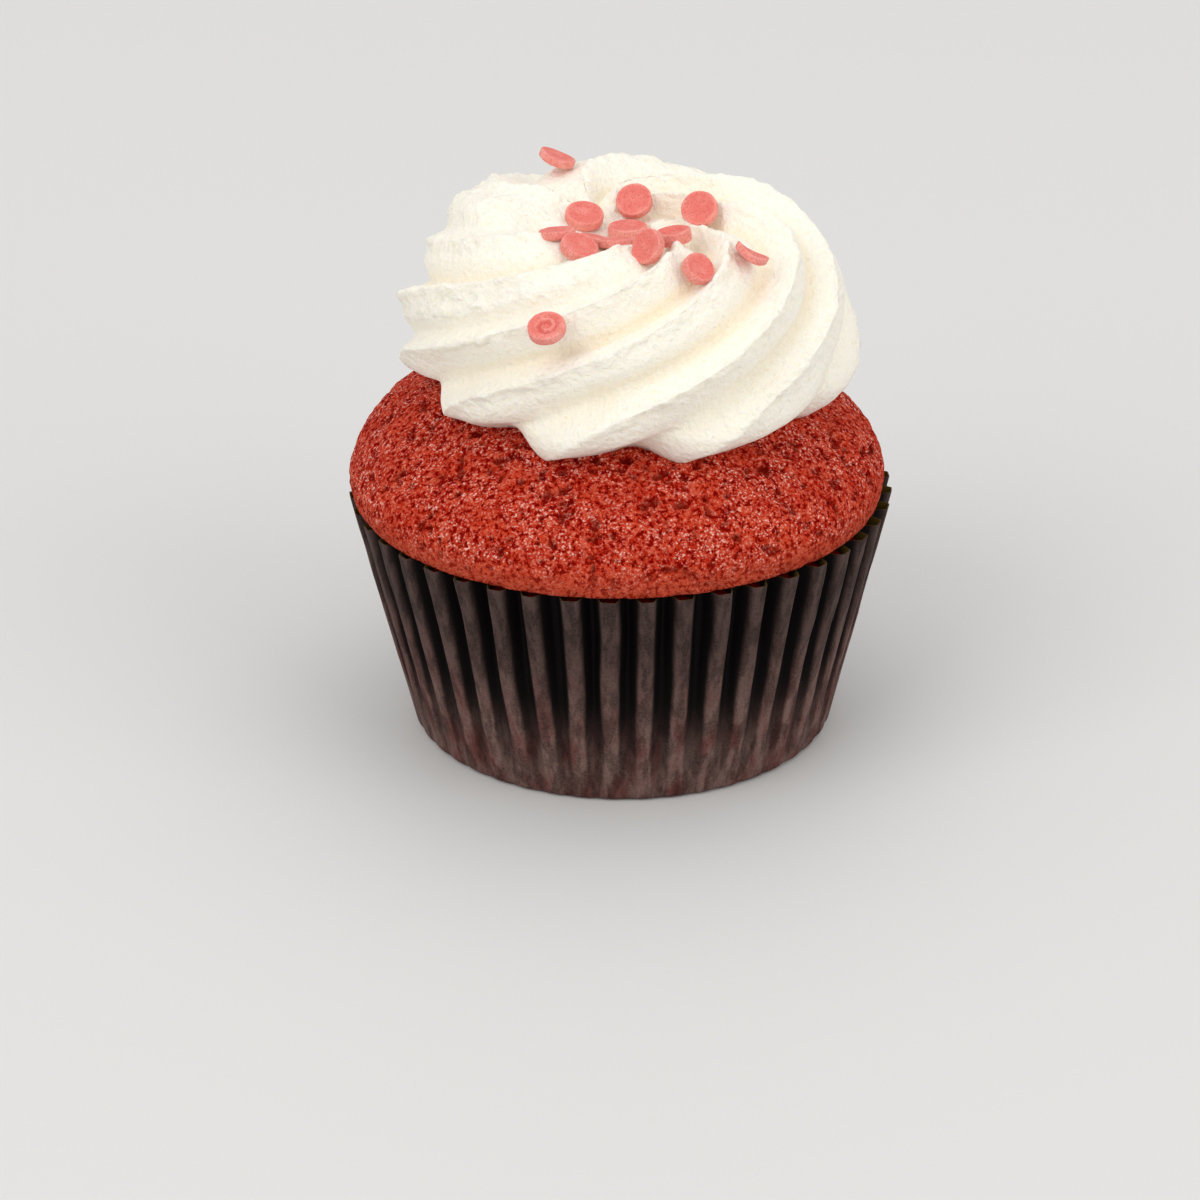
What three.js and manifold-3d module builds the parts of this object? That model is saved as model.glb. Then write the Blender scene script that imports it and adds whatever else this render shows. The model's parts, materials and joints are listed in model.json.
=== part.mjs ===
// A frosted cupcake: a domed sponge baked in a pleated paper case, topped with a piped
// swirl of cream and a scatter of flat sugar discs. Millimetres, +Z up. The origin is the
// centre of the case's base, on the surface that it stands on.

import * as THREE from "three";
import { mergeVertices } from "three/addons/utils/BufferGeometryUtils.js";
import Module from "manifold-3d";

const TURN = 2 * Math.PI;
const { lerp, clamp, degToRad, smoothstep } = THREE.MathUtils;

// Clear space between one piece and the next.
const GAP = 0.3;

// The paper case. Shares are parts of one pleat's pitch, and each is half a width.
const CASE = {
  baseRadius: 25.5,
  baseRounding: 0.9,
  rimRadius: 32.86,
  rimHeight: 29.95,
  rimOffsetX: -0.33,
  thickness: 0.45,
  pleats: 44,
  firstPleat: degToRad(185.5),
  crestShare: 0.21,
  valleyShare: 0.08,
  baseDepth: 0.4,
  rimDepth: 2.4,
};
const WALL_LEVELS = [CASE.baseRounding, 12, 25, CASE.rimHeight];
const CORNERS_PER_PLEAT = 4;
const DISC_COLUMNS = 2 * CASE.pleats;

// The sponge's dome is a superellipse turned about its own axis, with a tucked lower edge.
const DOME = {
  centreX: -0.81,
  radius: 32.31,
  springHeight: 32.26,
  rise: 15.66,
  power: 1.8,
  tuckDrop: 3.11,
  tuckIn: 1.5,
  neckRadius: 31.2,
  columns: 88,
};
const DOME_ANGLES = [0, 9, 18, 27, 36, 45, 54, 66, 78].map(degToRad);
const COVERED_ANGLES = [52, 65, 78].map(degToRad);

// The cream is a turned profile, [radius, height] from the eye to the foot, whose surface
// swells into eight ridges. Each ridge starts at its own azimuth on the foot and winds up
// towards the eye. Close to the eye it curls on, or back, by its own angle within the
// stretch "curled", and within the stretch "rising" it rises out of the smooth eye. The
// groove after it is shallower where it has a fill, in half depths of a groove.
const CREAM = {
  profile: [
    [0, 62.3],
    [5, 63.6],
    [10, 64.8],
    [15, 65.1],
    [20, 63.0],
    [24.7, 57.5],
    [25.7, 51.5],
    [25.6, 46.6],
    [21.6, 43.4],
  ],
  ridges: [
    { foot: 205.5, twist: 0.94, reach: -0.6, curl: 70, curled: [0.09, 0.2] },
    { foot: 244.5, twist: 0.96, reach: -0.1, curl: 85, curled: [0.13, 0.26] },
    { foot: 286, twist: 0.93, reach: -0.4, curl: 52, curled: [0.2, 0.33], fill: 0.4 },
    { foot: 344, twist: 0.98, reach: 0, curl: 10, curled: [0.25, 0.6], fill: 0.9 },
    {
      foot: 404,
      twist: 1.01,
      reach: 1.2,
      curl: -44,
      curled: [0.16, 0.42],
      rising: [0.05, 0.2],
      fill: 1.9,
    },
    { foot: 455.5, twist: 1.02, reach: -0.5, rising: [0.06, 0.26], fill: 0.3 },
    { foot: 494, twist: 1.02, reach: 0.9, rising: [0.1, 0.29], fill: 1.2 },
    { foot: 530, twist: 0.995, reach: 0.3, rising: [0.12, 0.32] },
  ],
  // What a ridge has unless it says otherwise.
  usual: { curl: 0, curled: [0.2, 0.3], rising: [0.05, 0.17], fill: 0 },
  // The grooves after some ridges are filled, fully from the second place outwards.
  filled: [0.22, 0.42],
  twist: 141,
  twistOnset: 2.35,
  twistPower: 2,
  // Ridges gain their full height at the first place, and their ends reach in or out of
  // line over the stretch after it.
  ridgesFull: 0.45,
  endsReach: [0.3, 0.6],
  eyeHeight: 1.5,
  ridgeHeight: 1.6,
  skew: 0.5,
  sharpness: 0.3,
  // The swirl's own centre drifts from the eye to the foot's centre.
  eye: new THREE.Vector2(0.9, -2.8),
  foot: new THREE.Vector2(0.8, 0.2),
  driftEnd: 0.5,
  footSettling: 0.75,
  lipRise: 6,
  rows: 24,
  rowCrowding: 1.1,
  columnsPerRidge: 12,
};

// Each sugar disc: its centre, the lean of its face from level and the heading of that
// lean in degrees, and its size. Every disc is pressed a little into the cream.
const DISCS = [
  { centre: [-8.0, 12.7, 67.3], lean: 22, heading: 15, diameter: 4.4, thickness: 1.2 },
  { centre: [1.3, 3.3, 65.6], lean: 39, heading: 254, diameter: 4.4, thickness: 1.2 },
  { centre: [9.0, -1.2, 66.4], lean: 46, heading: 248, diameter: 4.4, thickness: 1.2 },
  { centre: [-4.6, 0.3, 64.9], lean: 18, heading: 289, diameter: 4.6, thickness: 1.2 },
  { centre: [-7.8, -8.7, 66.4], lean: 13, heading: 112, diameter: 4.3, thickness: 1.1 },
  { centre: [-5.2, -11.8, 65.8], lean: 23, heading: 324, diameter: 4.6, thickness: 1.2 },
  { centre: [-3.1, -7.6, 65.0], lean: 21, heading: 48, diameter: 4.2, thickness: 1.1 },
  { centre: [0.5, -1.3, 63.8], lean: 4, heading: 115, diameter: 4.6, thickness: 1.2 },
  { centre: [2.8, -13.8, 66.8], lean: 59, heading: 222, diameter: 4.2, thickness: 1.2 },
  { centre: [5.8, -9.8, 66.5], lean: 11, heading: 149, diameter: 4.2, thickness: 1.5 },
  { centre: [8.6, -16.6, 65.2], lean: 44, heading: 314, diameter: 3.8, thickness: 1.2 },
  { centre: [14.7, -13.2, 65.4], lean: 33, heading: 24, diameter: 4.2, thickness: 1.1 },
  { centre: [-8.9, -24.0, 60.9], lean: 27, heading: 250, diameter: 4.4, thickness: 1.2 },
  { centre: [-0.9, -8.9, 65.3], lean: 16, heading: 97, diameter: 4.2, thickness: 1.1 },
];
const DISC_SIDES = 10;

// Points closer than this are one point.
const MERGE_DISTANCE = 1e-4;

const COLOURS = {
  paper: { color: 0x3b2d2b, roughness: 0.75, metalness: 0 },
  sponge: { color: 0x8f3226, roughness: 0.85, metalness: 0 },
  cream: { color: 0xf4ecd9, roughness: 0.6, metalness: 0 },
};

// ---------------------------------------------------------------- surfaces from rings

function pointOn(centreX, radius, angle, height) {
  return new THREE.Vector3(centreX + radius * Math.cos(angle), radius * Math.sin(angle), height);
}

function circle(centreX, radius, height, columns) {
  const angles = Array.from({ length: columns }, (_, column) => {
    return CASE.firstPleat + (TURN * column) / columns;
  });
  return angles.map((angle) => pointOn(centreX, radius, angle, height));
}

// Joins each ring to the next, from the pole under the body, round its outside and on to
// the last pole. A ring may have fewer points than its neighbour, and a pole has one.
function loft(rings) {
  const positions = [];
  const addTriangle = (...corners) => {
    corners.forEach((corner) => positions.push(corner.x, corner.y, corner.z));
  };
  for (let row = 0; row + 1 < rings.length; row++) {
    const [low, high] = [rings[row], rings[row + 1]];
    const steps = Math.max(low.length, high.length);
    const pick = (ring, step) => ring[Math.round((step * ring.length) / steps) % ring.length];
    for (let step = 0; step < steps; step++) {
      const [lowHere, lowNext] = [pick(low, step), pick(low, step + 1)];
      const [highHere, highNext] = [pick(high, step), pick(high, step + 1)];
      if (lowHere !== lowNext) addTriangle(lowHere, lowNext, highNext);
      if (highHere !== highNext) addTriangle(lowHere, highNext, highHere);
    }
  }
  const geometry = new THREE.BufferGeometry();
  geometry.setAttribute("position", new THREE.Float32BufferAttribute(positions, 3));
  return geometry;
}

// ---------------------------------------------------------------- the pleated wall

// One level of the wall, as flat crests and flat valleys with straight flanks between
// them. An inset moves it into the case, square to crests, valleys and flanks alike.
function pleatedRing(height, inset) {
  const rise = height / CASE.rimHeight;
  const crestRadius = lerp(CASE.baseRadius, CASE.rimRadius, rise);
  const depth = lerp(CASE.baseDepth, CASE.rimDepth, rise);
  const centreX = lerp(0, CASE.rimOffsetX, rise);
  const pitch = TURN / CASE.pleats;
  const flankShare = 0.5 - CASE.crestShare - CASE.valleyShare;
  const flankSlope = Math.atan2(depth, flankShare * pitch * crestRadius);
  const narrowing = (inset * Math.tan(flankSlope / 2)) / (pitch * crestRadius);
  const crest = CASE.crestShare - narrowing;
  const valley = 0.5 - CASE.valleyShare - narrowing;
  const corners = [
    [-crest, crestRadius],
    [crest, crestRadius],
    [valley, crestRadius - depth],
    [1 - valley, crestRadius - depth],
  ];
  return Array.from({ length: CASE.pleats * CORNERS_PER_PLEAT }, (_, index) => {
    const [share, radius] = corners[index % CORNERS_PER_PLEAT];
    const pleat = Math.floor(index / CORNERS_PER_PLEAT);
    const angle = CASE.firstPleat + (pleat + share) * pitch;
    return pointOn(centreX, radius - inset, angle, height);
  });
}

function makeCase() {
  const floorRadius = CASE.baseRadius - CASE.baseRounding;
  const outside = WALL_LEVELS.map((height) => pleatedRing(height, 0));
  const inside = WALL_LEVELS.map((height) => pleatedRing(height, CASE.thickness));
  return loft([
    [pointOn(0, 0, 0, 0)],
    circle(0, floorRadius, 0, DISC_COLUMNS),
    ...outside,
    ...inside.reverse(),
    circle(0, floorRadius - CASE.thickness, CASE.thickness, DISC_COLUMNS),
    [pointOn(0, 0, 0, CASE.thickness)],
  ]);
}

// ---------------------------------------------------------------- the sponge

function domeRing(angle, lift, columns) {
  const radius = DOME.radius * Math.cos(angle) ** (2 / DOME.power);
  const height = DOME.springHeight + DOME.rise * Math.sin(angle) ** (2 / DOME.power);
  return circle(DOME.centreX, radius, height + lift, columns);
}

function domeHeight(x, y) {
  const share = Math.min(Math.hypot(x - DOME.centreX, y) / DOME.radius, 1);
  return DOME.springHeight + DOME.rise * (1 - share ** DOME.power) ** (1 / DOME.power);
}

function holdIn(point, centreX, limit) {
  const reach = Math.hypot(point.x - centreX, point.y);
  const share = Math.min(1, limit / reach);
  return new THREE.Vector3(centreX + (point.x - centreX) * share, point.y * share, point.z);
}

function makeSponge() {
  const inset = CASE.thickness + GAP;
  const floorRadius = CASE.baseRadius - CASE.baseRounding - inset;
  const wall = WALL_LEVELS.map((height) => pleatedRing(height, inset));
  const neck = wall.pop().map((point) => holdIn(point, DOME.centreX, DOME.neckRadius));
  const overRim = CASE.rimHeight + GAP;
  const ledge = neck.map((point) => new THREE.Vector3(point.x, point.y, overRim));
  const tuckShare = (DOME.springHeight - overRim) / DOME.tuckDrop;
  const tuckRadius = DOME.radius - DOME.tuckIn * (1 - Math.sqrt(1 - tuckShare ** 2));
  return loft([
    [pointOn(0, 0, 0, inset)],
    circle(0, floorRadius, inset, DISC_COLUMNS),
    ...wall,
    neck,
    ledge,
    circle(DOME.centreX, tuckRadius, overRim + GAP / 2, DOME.columns),
    ...DOME_ANGLES.map((angle) => domeRing(angle, 0, DOME.columns)),
    [pointOn(DOME.centreX, 0, 0, DOME.springHeight + DOME.rise)],
  ]);
}

// ---------------------------------------------------------------- the cream

const creamProfile = new THREE.SplineCurve(
  CREAM.profile.map(([radius, height]) => new THREE.Vector2(radius, height)),
);

// A ridge by its number, counted on round the swirl.
function ridgeAt(index) {
  return { ...CREAM.usual, ...CREAM.ridges[index % CREAM.ridges.length] };
}

// Azimuth of a line that keeps its place between two ridges, all the way to the eye.
function swirlAngle(along, ridge) {
  const angleOf = (index) => {
    const { foot, twist, curl, curled } = ridgeAt(index);
    const wound = CREAM.twist * (1 - along ** CREAM.twistOnset) ** CREAM.twistPower;
    const curling = curl * (1 - smoothstep(along, ...curled));
    return foot + twist * wound + curling + 360 * Math.floor(index / CREAM.ridges.length);
  };
  const before = Math.floor(ridge);
  return degToRad(lerp(angleOf(before), angleOf(before + 1), ridge - before));
}

// Height of the swirl across one ridge: 1 on the crest, -1 in an open groove, with the
// crest leaning towards one side and drawn to an edge.
function ridgeWave(along, ridge) {
  const straight = TURN * ridge;
  const inGroove = 1 - Math.cos(straight);
  const leaning = straight - CREAM.skew * inGroove;
  const edge = 1 - 2 * Math.abs(Math.sin(leaning / 2));
  const fill = ridgeAt(Math.floor(ridge)).fill * smoothstep(along, ...CREAM.filled);
  return lerp(Math.cos(leaning), edge, CREAM.sharpness) + (fill * inGroove) / 2;
}

// Share of its full height that a place has gained on the way out from the eye.
function risen(along, ridge) {
  const before = Math.floor(ridge);
  const here = ridgeAt(before).rising;
  const next = ridgeAt(before + 1).rising;
  const start = lerp(here[0], next[0], ridge - before);
  const end = lerp(here[1], next[1], ridge - before);
  return smoothstep(along, start, end);
}

function creamPoint(along, ridge) {
  const edge = creamProfile.getPointAt(along);
  const tangent = creamProfile.getTangentAt(along);
  const angle = swirlAngle(along, ridge);
  const grown = clamp(along / CREAM.ridgesFull, 0, 1);
  const height = lerp(CREAM.eyeHeight, CREAM.ridgeHeight, grown);
  const swelling = height * risen(along, ridge) * ridgeWave(along, ridge);
  const nearest = ridgeAt(Math.round(ridge));
  const onCrest = ((1 + Math.cos(TURN * ridge)) / 2) ** 2;
  const offset = swelling + nearest.reach * onCrest * smoothstep(along, ...CREAM.endsReach);
  const radius = edge.x - offset * tangent.y;
  const centre = CREAM.eye.clone().lerp(CREAM.foot, smoothstep(along, 0, CREAM.driftEnd));
  const x = centre.x + radius * Math.cos(angle);
  const y = centre.y + radius * Math.sin(angle);
  return new THREE.Vector3(x, y, edge.y + offset * tangent.x);
}

// Keeps the swirl above the sponge, and brings its foot down or back onto it.
function settle(point, along) {
  const lowest = domeHeight(point.x, point.y) + GAP;
  if (along < 1) {
    const lip = lowest + CREAM.lipRise * (1 - along);
    return new THREE.Vector3(point.x, point.y, Math.max(point.z, lip));
  }
  const radius = Math.hypot(point.x - CREAM.foot.x, point.y - CREAM.foot.y);
  const share = 1 - (CREAM.footSettling * (point.z - lowest)) / radius;
  const x = lerp(CREAM.foot.x, point.x, share);
  const y = lerp(CREAM.foot.y, point.y, share);
  return new THREE.Vector3(x, y, domeHeight(x, y) + GAP);
}

// Turns a ring so that its first point lies nearest to that of another ring.
function startNear(ring, target) {
  const distances = ring.map((point) => point.distanceTo(target));
  const first = distances.indexOf(Math.min(...distances));
  return [...ring.slice(first), ...ring.slice(0, first)];
}

function makeSwirl() {
  const columns = CREAM.ridges.length * CREAM.columnsPerRidge;
  const rows = Array.from({ length: CREAM.rows }, (_, row) => {
    const along = (1 - row / CREAM.rows) ** CREAM.rowCrowding;
    return Array.from({ length: columns }, (_, column) => {
      return settle(creamPoint(along, column / CREAM.columnsPerRidge), along);
    });
  });
  const underside = COVERED_ANGLES.map((angle) => domeRing(angle, GAP, columns));
  return loft([
    [pointOn(DOME.centreX, 0, 0, DOME.springHeight + DOME.rise + GAP)],
    ...underside.reverse().map((ring) => startNear(ring, rows[0][0])),
    ...rows,
    [new THREE.Vector3(CREAM.eye.x, CREAM.eye.y, CREAM.profile[0][1])],
  ]);
}

function makeDisc({ centre, lean, heading, diameter, thickness }) {
  const [leaning, turned] = [degToRad(lean), degToRad(heading)];
  const face = new THREE.Vector3(Math.cos(turned), Math.sin(turned), 0);
  face.multiplyScalar(Math.sin(leaning)).setZ(Math.cos(leaning));
  const geometry = new THREE.CylinderGeometry(diameter / 2, diameter / 2, thickness, DISC_SIDES);
  const turn = new THREE.Quaternion().setFromUnitVectors(new THREE.Vector3(0, 1, 0), face);
  return geometry.applyQuaternion(turn).translate(...centre);
}

// ---------------------------------------------------------------- joining

const wasm = await Module();
wasm.setup();

function toSolid(geometry) {
  const bare = geometry.clone();
  bare.deleteAttribute("normal");
  bare.deleteAttribute("uv");
  const merged = mergeVertices(bare, MERGE_DISTANCE);
  const mesh = new wasm.Mesh({
    numProp: 3,
    vertProperties: merged.attributes.position.array,
    triVerts: new Uint32Array(merged.index.array),
  });
  return new wasm.Manifold(mesh);
}

function toGeometry(solid) {
  const mesh = solid.getMesh();
  const geometry = new THREE.BufferGeometry();
  geometry.setAttribute("position", new THREE.Float32BufferAttribute(mesh.vertProperties, 3));
  geometry.setIndex(new THREE.Uint32BufferAttribute(mesh.triVerts, 1));
  return geometry;
}

function makeFrosting() {
  const discs = DISCS.map((disc) => toSolid(makeDisc(disc)));
  const whole = discs.reduce((solid, disc) => solid.add(disc), toSolid(makeSwirl()));
  return toGeometry(whole);
}

// ---------------------------------------------------------------- the cupcake

function addPiece(group, name, geometry, finish) {
  geometry.computeVertexNormals();
  const piece = new THREE.Mesh(geometry, new THREE.MeshStandardMaterial(finish));
  piece.name = name;
  group.add(piece);
}

const cupcake = new THREE.Group();
addPiece(cupcake, "paper_case", makeCase(), COLOURS.paper);
addPiece(cupcake, "sponge", makeSponge(), COLOURS.sponge);
addPiece(cupcake, "frosting", makeFrosting(), COLOURS.cream);

export default cupcake;
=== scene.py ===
"""A frosted cupcake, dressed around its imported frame.

The frame holds three solids: the pleated paper case, the sponge and the frosting. Each is
replaced by a finely worked surface of the same form, and the sugar discs, which are fused to
the frosting in the frame, become a piece of their own. Sizes are in millimetres up to the
point where a mesh is made, and every mesh is in metres. A class's docstring explains the
fields whose names don't say enough.
"""

import json
import logging
import math
from abc import ABC, abstractmethod
from dataclasses import dataclass, field
from enum import Enum
from typing import ClassVar, Mapping, Optional, Sequence, Union

import bpy
import numpy as np
from mathutils import Euler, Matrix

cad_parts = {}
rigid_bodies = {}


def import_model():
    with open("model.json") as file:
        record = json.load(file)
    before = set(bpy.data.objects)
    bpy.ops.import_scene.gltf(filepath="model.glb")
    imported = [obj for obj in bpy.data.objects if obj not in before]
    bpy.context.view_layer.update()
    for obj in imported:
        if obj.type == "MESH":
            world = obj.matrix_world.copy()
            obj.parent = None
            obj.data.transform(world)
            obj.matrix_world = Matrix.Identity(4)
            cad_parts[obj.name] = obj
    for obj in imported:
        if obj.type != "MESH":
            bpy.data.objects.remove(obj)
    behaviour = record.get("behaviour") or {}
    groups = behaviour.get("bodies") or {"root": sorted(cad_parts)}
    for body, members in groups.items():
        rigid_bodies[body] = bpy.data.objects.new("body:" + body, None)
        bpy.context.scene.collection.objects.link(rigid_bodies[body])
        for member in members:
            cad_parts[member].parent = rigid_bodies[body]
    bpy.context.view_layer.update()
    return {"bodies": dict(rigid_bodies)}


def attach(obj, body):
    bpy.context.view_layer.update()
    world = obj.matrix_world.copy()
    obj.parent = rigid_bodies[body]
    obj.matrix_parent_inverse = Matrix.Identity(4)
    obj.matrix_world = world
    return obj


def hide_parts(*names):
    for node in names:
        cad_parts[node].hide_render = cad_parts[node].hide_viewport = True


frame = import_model()

LOG = logging.getLogger("cupcake")
MM = 0.001
TURN = 2 * math.pi
Array = np.ndarray
Number = Union[float, Array]
Pair = tuple[float, float]
Triple = tuple[float, float, float]
Colour = tuple[float, float, float, float]


# ------------------------------------------------------------------------- numbers


def mix(low: Number, high: Number, share: Number) -> Number:
    """Value that lies a share of the way from low to high."""
    return low + (high - low) * share


def ease(values: Number, start: float, end: float) -> Number:
    """Smooth step: 0 up to start, an S-curve, and 1 from end on, which may be below start."""
    share = np.clip((values - start) / (end - start), 0.0, 1.0)
    return share * share * (3.0 - 2.0 * share)


# The usual display curve: a straight foot, and a power of the shifted value above it.
FOOT_END = 0.04045
FOOT_SLOPE = 12.92
CURVE_SHIFT = 0.055
CURVE_POWER = 2.4


def linear(code: str) -> Colour:
    """Turns a display colour into a linear one, by the usual display curve.

    Args:
        code: Six hexadecimal digits, such as "f4ecd9".

    Returns:
        Red, green and blue in linear light, and full alpha.
    """
    shown = np.array([int(code[place : place + 2], 16) / 255 for place in (0, 2, 4)])
    above = ((shown + CURVE_SHIFT) / (1 + CURVE_SHIFT)) ** CURVE_POWER
    red, green, blue = np.where(shown <= FOOT_END, shown / FOOT_SLOPE, above)
    return (red, green, blue, 1.0)


def places(x: Number, y: Number, z: Number) -> Array:
    """Points from their coordinates, which are first spread over one grid."""
    return np.stack(np.broadcast_arrays(x, y, z), axis=-1)


def turned(radius: Number, angle: Number, height: Number, x: Number = 0, y: Number = 0) -> Array:
    """Points about an upright axis.

    Args:
        radius: Distance from the axis.
        angle: Angle round it, from +X towards +Y.
        height: Height.
        x: Place of the axis along X.
        y: Place of the axis along Y.

    Returns:
        The points.
    """
    return places(x + radius * np.cos(angle), y + radius * np.sin(angle), height)


# Large odd numbers, one for each axis, and shifts with factors. Together they stir whole
# numbers until no pattern is left. The last number is how many of their bits are kept.
AXIS_FACTORS = (0x9E3779B185EBCA87, 0xC2B2AE3D27D4EB4F, 0x165667B19E3779F9)
STIRS = ((30, 0xBF58476D1CE4E5B9), (27, 0x94D049BB133111EB), (31, 1))
KEPT_BITS = 53

# Steps from one seed to the next, in a field and between the layers of a fractal.
SEED_STEP = 7919
LAYER_STEP = 31


@dataclass(frozen=True)
class Noise:
    """Seeded random fields over space, worked out for whole arrays of points.

    Attributes:
        seed: Number that tells one field from another.
    """

    seed: int

    def lattice(self, cells: Array) -> Array:
        """Random numbers from 0 to 1 for lattice cells.

        The cell's three whole numbers are multiplied by large odd numbers and joined. The
        seed is added, and shifts and products stir the result.

        Args:
            cells: Whole numbers, with the three coordinates on the last axis.

        Returns:
            One number for each cell.
        """
        keys = np.asarray(cells, np.int64).astype(np.uint64)
        with np.errstate(over="ignore"):
            products = keys * np.array(AXIS_FACTORS, np.uint64)
            mixed = np.bitwise_xor.reduce(products, axis=-1)
            mixed += np.uint64(self.seed * SEED_STEP + 1)
            for shift, factor in STIRS:
                mixed = (mixed ^ (mixed >> np.uint64(shift))) * np.uint64(factor)
        return (mixed >> np.uint64(64 - KEPT_BITS)).astype(float) / 2.0**KEPT_BITS

    def value(self, points: Array, size: float) -> Array:
        """Smooth noise from -1 to 1.

        Random numbers at the corners of cubes are joined through each cube by smooth steps
        along its three directions.

        Args:
            points: Places, with x, y and z on the last axis.
            size: Side of a cube, in the points' own unit.

        Returns:
            One number for each point.
        """
        scaled = points / size
        cells = np.floor(scaled).astype(np.int64)
        share = ease(scaled - cells, 0.0, 1.0)
        total = np.zeros(points.shape[:-1])
        for corner in np.ndindex(2, 2, 2):
            weight = np.prod(np.where(corner, share, 1.0 - share), axis=-1)
            total += weight * self.lattice(cells + np.array(corner))
        return 2.0 * total - 1.0

    def fractal(self, points: Array, size: float, octaves: int = 3) -> Array:
        """Sum of noises, each half the size and half the strength of the one before.

        Args:
            points: Places, with x, y and z on the last axis.
            size: Side of the first noise's cubes.
            octaves: Number of noises.

        Returns:
            One number from -1 to 1 for each point.
        """
        layers = [
            Noise(self.seed + LAYER_STEP * octave).value(points, size / 2**octave) / 2**octave
            for octave in range(octaves)
        ]
        return sum(layers) / (2.0 - 2.0 ** (1 - octaves))


# ------------------------------------------------------------------------- meshes


# Length below which a normal counts as this long.
SHORTEST = 1e-9


def grid_normals(points: Array) -> Array:
    """Outward unit normals of a grid whose rows close round on themselves.

    Each is the cross product of the step from the previous to the next column and the step
    from the previous to the next row.

    Args:
        points: The grid, rows by columns by three.

    Returns:
        A normal for each point.
    """
    across = np.roll(points, -1, axis=1) - np.roll(points, 1, axis=1)
    along = np.gradient(points, axis=0)
    normals = np.cross(across, along)
    lengths = np.linalg.norm(normals, axis=-1, keepdims=True)
    return normals / np.maximum(lengths, SHORTEST)


def drawn_in(row: Array, shares: Sequence[float]) -> Array:
    """Rows like this one, each drawn in towards the upright axis by its share."""
    return np.stack([row * [share, share, 1] for share in shares])


@dataclass
class Surface:
    """A closed surface: rows of points that close round on themselves, between two poles.

    Attributes:
        rows: Points in millimetres, rows by columns by three, ordered from the pole under
            the body, round its outside and on to the last pole.
        poles: The first and the last pole.
        values: Named numbers for the finish, each an array of rows by columns.
    """

    rows: Array
    poles: tuple[Sequence[float], Sequence[float]]
    values: dict[str, Array] = field(default_factory=dict)

    def vertices(self) -> Array:
        """Its points in metres: the first pole, the rows and the last pole."""
        return np.vstack([self.poles[0], self.rows.reshape(-1, 3), self.poles[1]]) * MM

    def faces(self, start: int) -> list[list[int]]:
        """Triangles round each pole, and quads between rows, all facing outwards.

        Args:
            start: Number of the first pole among the mesh's vertices.

        Returns:
            The vertex numbers of each face.
        """
        height, width = self.rows.shape[:2]
        here = start + 1 + width * np.arange(height)[:, None] + np.arange(width)
        beside = np.roll(here, -1, axis=1)
        first_pole = np.full(width, start)
        last_pole = np.full(width, start + 1 + width * height)
        first = np.stack([first_pole, beside[0], here[0]], axis=-1)
        quads = np.stack([here[:-1], beside[:-1], beside[1:], here[1:]], axis=-1)
        last = np.stack([here[-1], beside[-1], last_pole], axis=-1)
        return first.tolist() + quads.reshape(-1, 4).tolist() + last.tolist()

    def numbers(self, name: str) -> Array:
        """One of its named values at every vertex, with the nearest row's mean at a pole."""
        grid = self.values[name]
        return np.concatenate([[grid[0].mean()], grid.ravel(), [grid[-1].mean()]])


def make_mesh(name: str, surfaces: Sequence[Surface]) -> bpy.types.Mesh:
    """Puts closed surfaces into one smooth-shaded mesh.

    Args:
        name: Name of the mesh.
        surfaces: The surfaces, which all carry values of the same names.

    Returns:
        The mesh, with the values as attributes of its vertices.
    """
    vertices = [surface.vertices() for surface in surfaces]
    starts = np.cumsum([0] + [len(part) for part in vertices])
    faces = sum((surface.faces(start) for surface, start in zip(surfaces, starts)), [])
    mesh = bpy.data.meshes.new(name)
    mesh.from_pydata(np.vstack(vertices), [], faces)
    mesh.polygons.foreach_set("use_smooth", np.ones(len(faces), bool))
    for key in surfaces[0].values:
        numbers = np.concatenate([surface.numbers(key) for surface in surfaces])
        mesh.attributes.new(key, "FLOAT", "POINT").data.foreach_set("value", numbers)
    mesh.update()
    return mesh


def add_object(name: str, data: bpy.types.ID) -> bpy.types.Object:
    """Puts a mesh, a light or a camera into the scene.

    Args:
        name: Name of its object.
        data: The mesh, light or camera.

    Returns:
        The object.
    """
    made = bpy.data.objects.new(name, data)
    bpy.context.scene.collection.objects.link(made)
    return made


# ------------------------------------------------------------------------- materials


Settings = Mapping[str, object]
Inputs = Mapping[Union[int, str], object]

# Sockets of a Mix node that mixes colours: its share, its two colours and its output.
MIX_SHARE, MIX_LOW, MIX_HIGH, MIX_RESULT = 0, 6, 7, 2


@dataclass(frozen=True)
class Blotches:
    """Settings of a noise.

    Attributes:
        size: Width of its blotches in millimetres.
        detail: Number of finer layers on top.
        roughness: Weight of each finer layer against the one before.
        tall: How many times taller than wide the blotches are.
    """

    size: float
    detail: float = 2.0
    roughness: float = 0.5
    tall: float = 1.0


@dataclass(frozen=True)
class Fade:
    """Stretch of a value over which something sets in.

    Attributes:
        start: Value at which nothing shows.
        end: Value from which on it shows in full, which may be below start.
        full: Strength with which it then shows.
    """

    start: float
    end: float
    full: float = 1.0


@dataclass(frozen=True)
class Glow:
    """Soft light inside a finish.

    Attributes:
        share: Share of the light that travels inside it.
        radius: How far red, green and blue travel, as shares of the scale.
        scale: That scale in millimetres.
    """

    share: float
    radius: Triple
    scale: float

    def inputs(self) -> Inputs:
        """Its values for a Principled surface's sockets."""
        return {
            "Subsurface Weight": self.share,
            "Subsurface Radius": self.radius,
            "Subsurface Scale": self.scale * MM,
        }


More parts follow.
